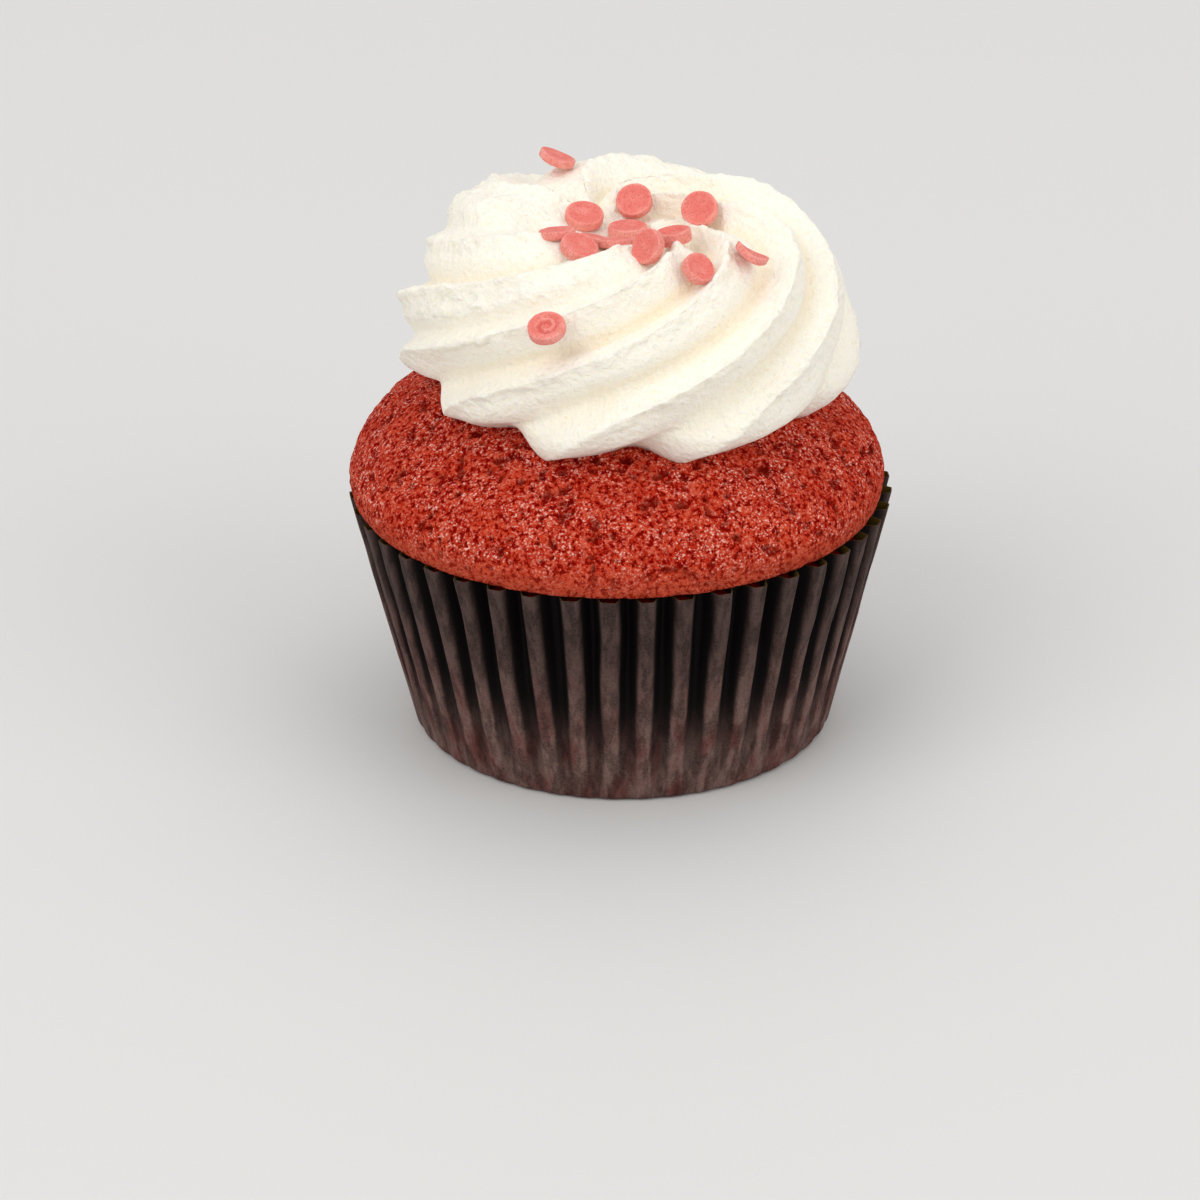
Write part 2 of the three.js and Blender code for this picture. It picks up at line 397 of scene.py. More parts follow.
class Wire:
    """An output of a material's node, on which shader maths is written as maths."""

    def __init__(self, bench: "Bench", socket: bpy.types.NodeSocket) -> None:
        """Wraps a socket of the bench's material."""
        self.bench = bench
        self.socket = socket

    def math(self, operation: str, *operands: Union["Wire", float]) -> "Wire":
        """Math node with this operation on the operands, in their order."""
        return self.bench.add("ShaderNodeMath", {"operation": operation}, dict(enumerate(operands)))

    def __add__(self, other: Union["Wire", float]) -> "Wire":
        """Sum."""
        return self.math("ADD", self, other)

    __radd__ = __add__

    def __sub__(self, other: Union["Wire", float]) -> "Wire":
        """Difference."""
        return self.math("SUBTRACT", self, other)

    def __rsub__(self, other: float) -> "Wire":
        """Difference from a number."""
        return self.math("SUBTRACT", other, self)

    def __mul__(self, other: Union["Wire", float]) -> "Wire":
        """Product."""
        return self.math("MULTIPLY", self, other)

    __rmul__ = __mul__

    def shown(self, fade: Fade) -> "Wire":
        """Smooth step of the value over a fade's stretch, times its full strength.

        Args:
            fade: The stretch and the strength.

        Returns:
            The result, from 0 to the full strength.
        """
        results = (0.0, 1.0) if fade.start < fade.end else (1.0, 0.0)
        inputs = dict(enumerate([self, *sorted((fade.start, fade.end)), *results]))
        settings = {"interpolation_type": "SMOOTHSTEP"}
        return self.bench.add("ShaderNodeMapRange", settings, inputs) * fade.full


class Bench:
    """The node tree of one material, ending in a Principled surface."""

    def __init__(self, name: str) -> None:
        """Starts a material of that name with an empty tree."""
        self.material = bpy.data.materials.new(name)
        self.material.use_nodes = True
        self.tree = self.material.node_tree
        self.tree.nodes.clear()
        self.place = self.add("ShaderNodeTexCoord", output="Object")

    def node(self, kind: str, settings: Settings, inputs: Inputs) -> bpy.types.Node:
        """Adds a node.

        Args:
            kind: Blender's name of the node's type.
            settings: The node's own settings, which are set first.
            inputs: A value or a Wire for each socket, by the socket's name or number.

        Returns:
            The node.
        """
        node = self.tree.nodes.new(kind)
        for name, value in settings.items():
            setattr(node, name, value)
        for key, value in inputs.items():
            if isinstance(value, Wire):
                self.tree.links.new(value.socket, node.inputs[key])
            else:
                node.inputs[key].default_value = value
        return node

    def add(
        self,
        kind: str,
        settings: Optional[Settings] = None,
        inputs: Optional[Inputs] = None,
        output: Union[int, str] = 0,
    ) -> Wire:
        """Adds a node, and hands back the output of that name or number."""
        return Wire(self, self.node(kind, settings or {}, inputs or {}).outputs[output])

    def attribute(self, name: str) -> Wire:
        """Named number that the mesh carries."""
        return self.add("ShaderNodeAttribute", {"attribute_name": name}, output="Fac")

    def noise(self, blotches: Blotches) -> Wire:
        """Noise from about 0.2 to 0.8.

        Args:
            blotches: Its settings.

        Returns:
            The noise at each place.
        """
        squash = {0: self.place, 1: (1.0, 1.0, 1.0 / blotches.tall)}
        inputs = {
            "Vector": self.add("ShaderNodeVectorMath", {"operation": "MULTIPLY"}, squash),
            "Scale": 1 / (blotches.size * MM),
            "Detail": blotches.detail,
            "Roughness": blotches.roughness,
        }
        return self.add("ShaderNodeTexNoise", inputs=inputs)

    def specks(self, spacing: float) -> Wire:
        """Distance to scattered points, as a share of their spacing in millimetres."""
        inputs = {"Vector": self.place, "Scale": 1 / (spacing * MM)}
        return self.add("ShaderNodeTexVoronoi", inputs=inputs)

    def blend(
        self, share: Union[Wire, float], low: Union[Wire, Colour], high: Union[Wire, Colour]
    ) -> Wire:
        """Colour that lies a share of the way from low to high."""
        inputs = {MIX_SHARE: share, MIX_LOW: low, MIX_HIGH: high}
        return self.add("ShaderNodeMix", {"data_type": "RGBA"}, inputs, output=MIX_RESULT)

    def bump(self, height: Wire, depth: float) -> Wire:
        """Normal of a relief of that height, from 0 to 1, times a depth in millimetres."""
        return self.add("ShaderNodeBump", inputs={"Height": height, "Distance": depth * MM})

    def surface(self, inputs: Inputs) -> bpy.types.Material:
        """Ends the tree in a Principled surface.

        Args:
            inputs: A value or a Wire for each of the surface's sockets.

        Returns:
            The material.
        """
        shader = self.add("ShaderNodeBsdfPrincipled", inputs=inputs)
        self.node("ShaderNodeOutputMaterial", {}, {"Surface": shader})
        return self.material


class Finish(ABC):
    """Look of a piece's surface."""

    @abstractmethod
    def build(self) -> bpy.types.Material:
        """Makes the material."""


# ------------------------------------------------------------------------- pieces


class Piece(ABC):
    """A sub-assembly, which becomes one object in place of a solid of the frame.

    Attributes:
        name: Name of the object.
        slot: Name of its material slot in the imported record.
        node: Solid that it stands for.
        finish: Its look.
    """

    name: ClassVar[str]
    slot: ClassVar[str]
    node: ClassVar[str]
    finish: ClassVar[Finish]

    @abstractmethod
    def surfaces(self) -> list[Surface]:
        """Works out the closed surfaces that make up the piece."""

    def build(self) -> bpy.types.Object:
        """Makes the piece's object, which sits at the origin, and gives it its finish.

        Returns:
            The object.
        """
        mesh = make_mesh(self.name, self.surfaces())
        mesh.materials.append(self.finish.build())
        return add_object(self.name, mesh)

    def dress(self, body: str) -> None:
        """Builds the piece, ties it to a body of the frame and reports it.

        Args:
            body: Name of the body that it moves with.
        """
        piece = self.build()
        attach(piece, body)
        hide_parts(self.node)
        count = len(piece.data.polygons)
        LOG.info("%s stands for %s, with %d faces", self.name, self.node, count)


# ------------------------------------------------------------------------- paper case


@dataclass(frozen=True)
class PaperFinish(Finish):
    """Dark greaseproof paper, matte, reddish where the cake's fat has soaked in, with painted shade
    in its folds, painted bounce light on its lower crests and painted light shining through its
    inner face.

    Attributes:
        crest: Colour of the crests, higher up.
        low: Colour of the crests near the base, lighter and redder: partly fat that has soaked in,
            partly painted bounce light.
        stained: Colour of the blotches of fat.
        fold: Near-black painted shade down in the folds; the fibre and the streaks also darken
            towards it.
        inside: Olive colour of the inner face, seen at the cut rim: painted light shining through
            the paper.
        rougher: How much the fibre adds to the roughness.
        fibre_darkens: How the fibre darkens the paper.
        streak_darkens: How upright streaks do.
        fat_shows: How the blotches of fat show.
    """

    crest: Colour = linear("52403c")
    # Lower crests: partly soaked fat, partly painted bounce light.
    low: Colour = linear("7e635c")
    stained: Colour = linear("602c28")
    # Painted shade in the folds; also the dark of the fibre and the streaks.
    fold: Colour = linear("060202")
    # Painted light shining through the paper.
    inside: Colour = linear("4a3c10")
    roughness: float = 0.65
    rougher: float = 0.12
    specular: float = 0.1
    fibre: Blotches = Blotches(0.3, detail=3.0)
    fibre_darkens: Fade = Fade(0.3, 0.75, 0.3)
    fibre_depth: float = 0.03
    streak: Blotches = Blotches(1.1, detail=3.0, tall=5.0)
    streak_darkens: Fade = Fade(0.4, 0.6, 0.4)
    fat: Blotches = Blotches(2.4, detail=4.0, roughness=0.6, tall=3.0)
    fat_shows: Fade = Fade(0.38, 0.68, 0.8)

    def build(self) -> bpy.types.Material:
        """Makes the material from the mesh's values: the folds' painted shade, the share of soaked
        fat and painted bounce light low down, and the inner face.

        Returns:
            The material.
        """
        bench = Bench("paper")
        fibre, streak, fat = (bench.noise(item) for item in (self.fibre, self.streak, self.fat))
        stain_and_bounce_light = bench.attribute("stain_and_bounce_light")
        # Lighter, redder lower crests: partly soaked fat, partly painted bounce light.
        plain = bench.blend(stain_and_bounce_light, self.crest, self.low)
        face = bench.blend(stain_and_bounce_light * fat.shown(self.fat_shows), plain, self.stained)
        darkened = fibre.shown(self.fibre_darkens) + streak.shown(self.streak_darkens)
        mottled = bench.blend(darkened, face, self.fold)
        # Painted shade: the folds turn near-black.
        fold_shaded = bench.blend(bench.attribute("fold"), mottled, self.fold)
        return bench.surface(
            {
                # Inner face: painted light shining through the paper.
                "Base Color": bench.blend(bench.attribute("inside"), fold_shaded, self.inside),
                "Roughness": self.roughness + self.rougher * fibre,
                "Specular IOR Level": self.specular,
                "Normal": bench.bump(fibre, self.fibre_depth),
            }
        )


@dataclass
class PaperCase(Piece):
    """The pleated paper case, an open cup of thin paper with a flat round base.

    Attributes:
        base_rounding: Radius of the rounding between the base and the wall.
        rim_offset: How far the rim's centre lies along X from the base's.
        first_pleat: Azimuth in radians of the first crest.
        crest_share: Half the width of a crest, as a share of a pleat's pitch.
        crest_spread: How much that width varies, as a share of it.
        floor_share: Half the width of a fold's floor, as a share of the pitch.
        wander: How far a pleat wanders sideways, as a share of the pitch.
        wander_rate: Steps of the noise that makes it wander, for each millimetre of height.
        pleat_step: Steps of that noise from one pleat to the next.
        softness: How far a fold's flanks are rounded into an S-curve.
        base_depth: Depth of the folds at the base.
        rim_depth: Their depth at the rim.
        depth_power: Power by which that depth grows up the wall.
        depth_heights: Shares of the height between which it grows.
        crumple: Depth of the broad dents in the wall.
        crumple_size: Width of those dents.
        crumple_heights: Shares of the height between which they set in.
        ragged: How far the cut rim is out of level.
        ragged_size: Width of the rim's unevenness.
        fold_shade_depths: Fold depths between which the fold's dark colour sets in.
        fold_shade_heights: Heights between which that dark colour reaches its full strength.
        stain_and_bounce_heights: Heights between which the fat's soaking and the painted bounce
            light on the lower crests end.
        base_shares: Radii of the base's rows, as shares of the base's radius.
        floor_shares: Radii of the inner floor's rows, as shares of its radius.
        lining_step: How many rows of the outside there are to one of the lining.
        noise: Noise of the pleats' wander, the dents and the rim.
        width_noise: Noise of the crests' widths.
    """

    name: ClassVar[str] = "paper_cup"
    slot: ClassVar[str] = "paper"
    node: ClassVar[str] = "paper_case"
    finish: ClassVar[Finish] = PaperFinish()

    base_radius: float = 25.5
    base_rounding: float = 0.9
    rim_radius: float = 32.86
    rim_height: float = 29.95
    rim_offset: float = -0.33
    thickness: float = 0.16
    pleats: int = 44
    first_pleat: float = math.radians(185.5)
    crest_share: float = 0.168
    crest_spread: float = 0.16
    floor_share: float = 0.05
    wander: float = 0.05
    wander_rate: float = 0.12
    pleat_step: float = 17.0
    softness: float = 0.3
    base_depth: float = 0.14
    rim_depth: float = 2.4
    depth_power: float = 1.15
    depth_heights: Pair = (-0.02, 0.98)
    crumple: float = 0.12
    crumple_size: float = 5.0
    crumple_heights: Pair = (0.0, 0.3)
    ragged: float = 0.1
    ragged_size: float = 0.8
    # fold_shade_depths: Fold depths between which the folds' painted shade sets in.         fold_shade_heights: Heights between which that painted shade reaches its full strength.
    fold_shade_depths: Pair = (0.02, 0.4)
    fold_shade_heights: Pair = (-3.0, 15.0)
    stain_and_bounce_heights: Pair = (6.0, 24.0)
    base_shares: tuple[float, ...] = (0.3, 0.7, 0.9, 0.97)
    floor_shares: tuple[float, ...] = (0.9, 0.4)
    columns_per_pleat: int = 26
    foot_rows: int = 6
    wall_rows: int = 45
    lining_step: int = 3
    noise: Noise = Noise(11)
    width_noise: Noise = Noise(12)

    def centre(self, height: Array) -> Array:
        """X of the case's axis at a height, as the case leans slightly."""
        return self.rim_offset * height / self.rim_height

    def fold(self, shares: Array, height: Array) -> Array:
        """Depth of the fold, 0 on a crest and 1 on a floor.

        Every pleat has its own crest width and its own slow sideways wander up the wall.
        The depth rises evenly from the crest's edge to the floor, partly as an S-curve.

        Args:
            shares: Places round the case in pleats, whole at each crest's middle.
            height: Heights, which broadcast with the shares.

        Returns:
            The depth at each place.
        """
        pleat = np.round(shares) % self.pleats
        track = places(pleat * self.pleat_step, height * self.wander_rate, 0)
        aside = self.wander * self.noise.value(track, 1.0)
        width = self.crest_share * (1.0 + self.crest_spread * self.width_noise.value(track, 1.0))
        offset = np.abs(shares - np.round(shares) + aside)
        straight = np.clip((offset - width) / (0.5 - self.floor_share - width), 0.0, 1.0)
        return mix(straight, ease(straight, 0.0, 1.0), self.softness)

    def outer(self, shares: Array, height: Array) -> tuple[Array, Array]:
        """Points of the outside wall.

        The crest's radius grows evenly with height. The fold is cut into it, shallow at
        the base and deep at the rim, and the foot is rounded off below it as a quarter
        circle. Broad dents set in above it.

        Args:
            shares: Places round the case, in pleats.
            height: Heights, which broadcast with the shares.

        Returns:
            The points, and the fold's depth at each.
        """
        rise = height / self.rim_height
        fold = self.fold(shares, height)
        grown = ease(rise, *self.depth_heights) ** self.depth_power
        depth = mix(self.base_depth, self.rim_depth, grown)
        foot = np.clip(1.0 - height / self.base_rounding, 0.0, 1.0)
        rounding = self.base_rounding * (1.0 - np.sqrt(1.0 - foot**2))
        radius = mix(self.base_radius, self.rim_radius, rise) - rounding - depth * fold
        outward = turned(1, self.first_pleat + TURN * shares / self.pleats, 0)
        axis = places(self.centre(height), 0, height)
        points = axis + radius[..., None] * outward
        dent = self.crumple * self.noise.fractal(points, self.crumple_size)
        dent = dent * ease(rise, *self.crumple_heights)
        return points + dent[..., None] * outward, fold

    def surfaces(self) -> list[Surface]:
        """Works out the case: base, outside wall, cut rim, inside wall and inner floor.

        The inside wall is the outside one moved in by the paper's thickness along its
        normals, with fewer rows.

        Returns:
            The case as one surface.
        """
        columns = self.pleats * self.columns_per_pleat
        shares = np.arange(columns)[None, :] / self.columns_per_pleat
        foot = self.base_rounding * (1 - np.cos(np.linspace(0, math.pi / 2, self.foot_rows)))
        above = np.linspace(self.base_rounding, self.rim_height, self.wall_rows + 1)[1:]
        wall, fold = self.outer(shares, np.concatenate([foot, above])[:, None])
        wall[-1, :, 2] += self.ragged * self.noise.fractal(wall[-1], self.ragged_size)
        kept = np.r_[len(wall) - 1 : 0 : -self.lining_step, 0]
        lining = (wall - self.thickness * grid_normals(wall))[kept]
        lining[..., 2] = np.clip(lining[..., 2], self.thickness, wall[-1, :, 2])
        base = drawn_in(wall[0], self.base_shares)
        inner_floor = drawn_in(lining[-1], self.floor_shares)
        sections = (base, wall, lining, inner_floor)
        folds = (0 * base[..., 0], fold, fold[kept], 0 * inner_floor[..., 0])
        insides = [
            np.full(section.shape[:2], inside) for section, inside in zip(sections, (0, 0, 1, 1))
        ]
        rows = np.concatenate(sections)
        # Painted shade in the folds, which fades out towards the base.
        shade = ease(rows[..., 2], *self.fold_shade_heights)
        values = {
            "fold": ease(np.concatenate(folds), *self.fold_shade_depths) * shade,
            "inside": np.concatenate(insides),
            # Share of soaked fat and of painted bounce light, full near the base.
            "stain_and_bounce_light": 1 - ease(rows[..., 2], *self.stain_and_bounce_heights),
        }
        return [Surface(rows, ([0, 0, 0], [0, 0, self.thickness]), values)]


# ------------------------------------------------------------------------- sponge


@dataclass(frozen=True)
class SpongeFinish(Finish):
    """Fine open crumb, brick red, with painted shade in its pores and holes and pale painted
    highlights standing for light caught by fat and sugar.

    Attributes:
        crumb: The crumb's own colour.
        orange: Colour of its warmer clouds.
        deep_shade: Painted shade between the crumbs, in the fine pores.
        hole_shade: Painted shade in the holes, and on the sponge inside the case, which shows in
            the gap at the rim.
        crust: Colour of the calm skin at the lower edge.
        salmon: Colour of the palest crumbs.
        painted_glint: Colour of the painted highlights.
        smoother: How much the painted highlights take from the roughness.
        cloud_warms: How the clouds turn orange.
        grain_pales: How the grain turns pale.
        grain_pore_shade: How the grain paints shade in the fine pores.
        grain_glints: How it lets the painted highlights through, and their strength.
        sparkle_glints: How the finest noise lets them through.
        sparkle_relief: Weight of the finest noise in the relief.
        dots: How the scattered dots of the painted highlights show, by the distance from their
            middles.
        patches: How the painted highlights gain strength in patches.
        patch_least: Their strength outside the patches.
        crust_shows: Share of its own colour that the crust takes.
        crust_hides: Shares of the pale grain, the painted pore shade and the painted highlights
            that it hides.
    """

    crumb: Colour = linear("b62610")
    orange: Colour = linear("c8381d")
    # Painted shade in the fine pores and in the holes.
    deep_shade: Colour = linear("7e0200")
    hole_shade: Colour = linear("6a0500")
    crust: Colour = linear("bc4c34")
    salmon: Colour = linear("d86247")
    # Painted highlight: pale specks.
    painted_glint: Colour = linear("f6bfb2")
    roughness: float = 0.8
    smoother: float = 0.3
    specular: float = 0.03
    cloud: Blotches = Blotches(2.6, detail=3.0)
    cloud_warms: Fade = Fade(0.4, 0.62)
    grain: Blotches = Blotches(0.6, detail=3.0, roughness=0.65)
    grain_pales: Fade = Fade(0.48, 0.64, 0.7)
    grain_pore_shade: Fade = Fade(0.48, 0.39)
    grain_glints: Fade = Fade(0.42, 0.6, 1.15)
    grain_depth: float = 0.4
    sparkle: Blotches = Blotches(0.3, roughness=0.6)
    sparkle_glints: Fade = Fade(0.44, 0.6)
    sparkle_relief: float = 0.5
    dot_spacing: float = 0.33
    dots: Fade = Fade(0.65, 0.2)
    patch: Blotches = Blotches(4.0, detail=3.0)
    patches: Fade = Fade(0.4, 0.6, 0.7)
    patch_least: float = 0.3
    crust_shows: float = 0.7
    crust_hides: Triple = (0.5, 0.25, 0.8)

    def build(self) -> bpy.types.Material:
        """Makes the material from the mesh's values for the holes' painted shade and for the crust.

        Returns:
            The material.
        """
        bench = Bench("sponge")
        cloud = bench.noise(self.cloud).shown(self.cloud_warms)
        patches = bench.noise(self.patch).shown(self.patches) + self.patch_least
        grain, sparkle = bench.noise(self.grain), bench.noise(self.sparkle)
        crust, pore_shade = bench.attribute("crust"), bench.attribute("pore_shade")
        pale_open, dark_open, glint_open = (1.0 - crust * hidden for hidden in self.crust_hides)
        body = bench.blend(cloud, self.crumb, self.orange)
        skin = bench.blend(crust * self.crust_shows, body, self.crust)
        pale = bench.blend(grain.shown(self.grain_pales) * pale_open, skin, self.salmon)
        # Painted shade in the fine pores between the crumbs.
        dark = bench.blend(grain.shown(self.grain_pore_shade) * dark_open, pale, self.deep_shade)
        # Painted shade in the holes, and on the sponge hidden inside the case.
        pore_shaded = bench.blend(pore_shade, dark, self.hole_shade)
        # Painted highlights: pale dots, in patches, kept out of the holes.
        dots = bench.specks(self.dot_spacing).shown(self.dots) * (1.0 - pore_shade) * patches
        sparkling = sparkle.shown(self.sparkle_glints) * grain.shown(self.grain_glints)
        painted_glints = dots * glint_open * sparkling
        return bench.surface(
            {
                "Base Color": bench.blend(painted_glints, pore_shaded, self.painted_glint),
                "Roughness": self.roughness - self.smoother * painted_glints,
                "Specular IOR Level": self.specular,
                "Normal": bench.bump(grain + sparkle * self.sparkle_relief, self.grain_depth),
            }
        )


@dataclass
class Sponge(Piece):
    """The sponge: a fluted body inside the case and a risen dome over its rim.

    Attributes:
        case: The case that it fills.
        centre_x: X of the dome's axis.
        radius: Radius of the dome's widest ring.
        spring_height: Height of the dome's widest ring.
        rise: Height of the dome above that ring.
        power: Power of the superellipse that the dome follows.
        tuck_drop: Height of the whole quarter ellipse by which the lower edge tucks in.
        tuck_in: Its width.
        edge_height: Height at which the lower edge ends, above the paper.
        gap: Clear space to the paper.
        floor_share: Size of the floor, as a share of the lowest fluted row.
        floor_height: Height of the floor.
        body_heights: Heights of the fluted body's rows.
        ledge: Radius and height of each row of the ledge over the rim.
        top_radii: Radii of the rows under the cream.
        covered_angle: Angle of the superellipse from which the cream covers the dome.
        swell: Height of the broad swells and of the smaller ones.
        swell_sizes: Widths of both.
        crumb: Height of the crumb.
        crumb_size: Width of a crumb.
        hole_depth: Depth of the holes.
        hole_size: Width of the large ones.
        small_holes: Depths of the crumb's noise between which small holes open.
        small_depth: Their depth, as a share of the large ones'.
        large_holes: Depths of the holes' own noise between which large ones open.
        crust_heights: Heights above the edge between which the calm crust ends.
        crust_calms: Shares of the crumb and of the holes that the crust takes away.
        edge_fade: Height above the edge over which the relief sets in.
        edge_relief: Share of the relief that is left at the edge.
        noise: Noise of the swells and the crumb.
        hole_noise: Noise of the large holes.
    """

    name: ClassVar[str] = "cake"
    slot: ClassVar[str] = "sponge"
    node: ClassVar[str] = "sponge"
    finish: ClassVar[Finish] = SpongeFinish()

    case: PaperCase
    centre_x: float = -0.81
    radius: float = 32.31
    spring_height: float = 32.26
    rise: float = 15.66
    power: float = 1.8
    tuck_drop: float = 3.11
    tuck_in: float = 1.5
    edge_height: float = 30.12
    gap: float = 0.75
    floor_share: float = 0.95
    floor_height: float = 0.8
    body_heights: tuple[float, ...] = (1.0, 6.0, 12.0, 20.0, 26.0, 29.0)
    ledge: tuple[Pair, ...] = ((29.2, 29.6), (29.4, 30.08), (31.4, 30.06))
    top_radii: tuple[float, ...] = (12.0, 6.0)
    covered_angle: float = math.radians(53)
    swell: Pair = (0.3, 0.12)
    swell_sizes: Pair = (11.0, 3.5)
    crumb: float = 0.3
    crumb_size: float = 1.2
    hole_depth: float = 0.35
    hole_size: float = 2.4
    small_holes: Pair = (0.2, 0.5)
    small_depth: float = 0.8
    large_holes: Pair = (0.4, 0.58)
    crust_heights: Pair = (0.8, 4.5)
    crust_calms: Pair = (0.4, 0.6)
    edge_fade: float = 1.2
    edge_relief: float = 0.5
    columns: int = 880
    tuck_rows: int = 12
    dome_rows: int = 84
    noise: Noise = Noise(23)
    hole_noise: Noise = Noise(28)

    def dome_height(self, x: Number, y: Number) -> Number:
        """Height of the smooth dome, whose radius and height shares fit a superellipse."""
        share = np.minimum(np.hypot(x - self.centre_x, y) / self.radius, 1.0)
        return self.spring_height + self.rise * (1 - share**self.power) ** (1 / self.power)

    def rings(self, radius: Array, height: Array) -> Array:
        """Rings of points about the dome's axis.

        Args:
            radius: Radius of each ring.
            height: Height of each ring.

        Returns:
            The points, rings by columns by three.
        """
        angle = self.case.first_pleat + TURN * np.arange(self.columns) / self.columns
        return turned(radius[:, None], angle, height[:, None], self.centre_x)

    def body(self) -> Array:
        """Works out the fluted part inside the case.

        Returns:
            Its rows, which are the case's wall moved in towards the axis by the gap.
        """
        shares = np.arange(self.columns)[None, :] * self.case.pleats / self.columns
        height = np.array(self.body_heights)[:, None]
        wall, _ = self.case.outer(shares, height)
        axis = places(self.case.centre(height), 0, height)
        out = wall - axis
        length = np.linalg.norm(out[..., :2], axis=-1, keepdims=True)
        return axis + out * np.where([1, 1, 0], (length - self.gap) / length, 1.0)

    def dome(self) -> tuple[Array, Array, Array]:
        """Works out the dome with its crumb.

        The lower edge is part of an ellipse that tucks in below the widest ring, and the
        superellipse of the dome follows: shares of the radius and of the rise, which are
        the cosine and the sine to the power of two over the superellipse's own. Broad
        swells and crumbs stand on it, and holes open where two noises are lowest. All are
        weaker at the lower edge.

        Returns:
            Its rows, the depth of the holes and the share of calm crust.
        """
        below = np.linspace(self.spring_height - self.edge_height, 0, self.tuck_rows + 1)[:-1]
        tucked = self.tuck_in * (1 - np.sqrt(1 - (below / self.tuck_drop) ** 2))
        over = np.linspace(0, self.covered_angle, self.dome_rows)
        out, up = np.cos(over) ** (2 / self.power), np.sin(over) ** (2 / self.power)
        radius = np.concatenate([self.radius - tucked, self.radius * out])
        height = np.concatenate([self.spring_height - below, self.spring_height + self.rise * up])
        smooth = self.rings(radius, height)
        edge = ease(height, self.edge_height, self.edge_height + self.edge_fade)[:, None]
        crust_start, crust_end = (self.edge_height + above for above in self.crust_heights)
        crust = 1.0 - ease(height, crust_start, crust_end)[:, None]
        (broad, small), (broad_size, small_size) = self.swell, self.swell_sizes
        swell = broad * self.noise.fractal(smooth, broad_size)
        swell += small * self.noise.value(smooth, small_size)
        crumb = self.noise.fractal(smooth, self.crumb_size)
        large = ease(-self.hole_noise.fractal(smooth, self.hole_size, octaves=4), *self.large_holes)
        holes = np.maximum(self.small_depth * ease(-crumb, *self.small_holes), large)
        crumb_left, holes_left = (1 - calmed * crust for calmed in self.crust_calms)
        holes = holes * holes_left
        offset = swell * edge + self.crumb * crumb * crumb_left - self.hole_depth * holes
        offset = offset * mix(self.edge_relief, 1.0, edge)
        points = smooth + offset[..., None] * grid_normals(smooth)
        return points, holes, crust + 0 * holes

    def surfaces(self) -> list[Surface]:
        """Works out the sponge: floor, fluted body, ledge over the rim, dome and top.

        Returns:
            The sponge as one surface.
        """
        body = self.body()
        drop = self.floor_height / self.body_heights[0]
        floor = body[:1] * [self.floor_share, self.floor_share, drop]
        ledge = self.rings(*np.array(self.ledge).T)
        dome, holes, crust = self.dome()
        top_radii = np.array(self.top_radii)
        top = self.rings(top_radii, self.dome_height(top_radii + self.centre_x, 0.0))
        under = np.zeros((len(floor) + len(body) + len(ledge), self.columns))
        over = np.zeros((len(top), self.columns))
        values = {
            # Painted shade in the holes, and in full on the sponge inside the case, which shows in
            # the gap at the rim.
            "pore_shade": np.concatenate([under + 1, holes, over]),
            "crust": np.concatenate([under, crust, over]),
        }
        rows = np.concatenate([floor, body, ledge, dome, top])
        poles = (
            [0, 0, self.floor_height],
            [self.centre_x, 0, self.spring_height + self.rise],
        )
        return [Surface(rows, poles, values)]


# ------------------------------------------------------------------------- cream


@dataclass(frozen=True)
class CreamFinish(Finish):
    """Ivory whipped icing: soft light inside it, with a warmer painted shade down in its grooves.

    Attributes:
        ivory: The icing's own colour.
        warm_tone_and_groove_shade: Colour of the painted shade in the grooves and of faint clouds.
        speck: Colour of the few vanilla-coloured specks.
        rougher: How much the grain adds to the roughness.
        groove_shade_share: Share of that colour painted as shade down in a groove.
        grain_warms: How the grain turns warmer.
        cloud_warms: How the clouds do.
        speck_shows: How the specks show, by the distance from their middles.
    """

    ivory: Colour = linear("fff8ea")
    # Also the painted warm shade in the grooves.
    warm_tone_and_groove_shade: Colour = linear("fbecd2")
    speck: Colour = linear("f2dda8")
    roughness: float = 0.55
    rougher: float = 0.15
    specular: float = 0.35
    glow: Glow = Glow(0.3, (1.0, 0.8, 0.55), 1.2)
    groove_shade_share: float = 0.75
    grain: Blotches = Blotches(0.8, detail=3.0, roughness=0.6)
    grain_warms: Fade = Fade(0.55, 0.35, 0.2)
    grain_depth: float = 0.5
    cloud: Blotches = Blotches(6.0)
    cloud_warms: Fade = Fade(0.45, 0.75, 0.15)
    speck_spacing: float = 2.4
    speck_shows: Fade = Fade(0.09, 0.05, 0.5)

    def build(self) -> bpy.types.Material:
        """Makes the material from the mesh's groove value, the share of painted shade in the
        grooves.

        Returns:
            The material.
        """
        bench = Bench("cream")
        grain, cloud = bench.noise(self.grain), bench.noise(self.cloud)
        mottle = cloud.shown(self.cloud_warms) + grain.shown(self.grain_warms)
        # Painted shade in the grooves, with warm clouds and grain.
        warmth = bench.attribute("groove") * self.groove_shade_share + mottle
        body = bench.blend(warmth, self.ivory, self.warm_tone_and_groove_shade)
        specks = bench.specks(self.speck_spacing).shown(self.speck_shows)
        return bench.surface(
            {
                "Base Color": bench.blend(specks, body, self.speck),
                "Roughness": self.roughness + self.rougher * grain,
                "Specular IOR Level": self.specular,
                "Normal": bench.bump(grain, self.grain_depth),
                **self.glow.inputs(),
            }
        )


@dataclass(frozen=True)
class Ridge:
    """One ridge of the swirl.

    Attributes:
        foot: Azimuth in degrees at which it starts on the foot.
        twist: Its share of the swirl's twist.
        reach: How far its outer end reaches out of line.
        curl: Angle in degrees by which it curls on, or back, close to the eye.
        curled: The stretch within which it does so.
        rising: The stretch within which it rises out of the smooth eye.
        fill: How far the groove after it is filled, in half depths of a groove.
    """

    foot: float
    twist: float
    reach: float
    curl: float = 0.0
    curled: Pair = (0.2, 0.3)
    rising: Pair = (0.05, 0.17)
    fill: float = 0.0


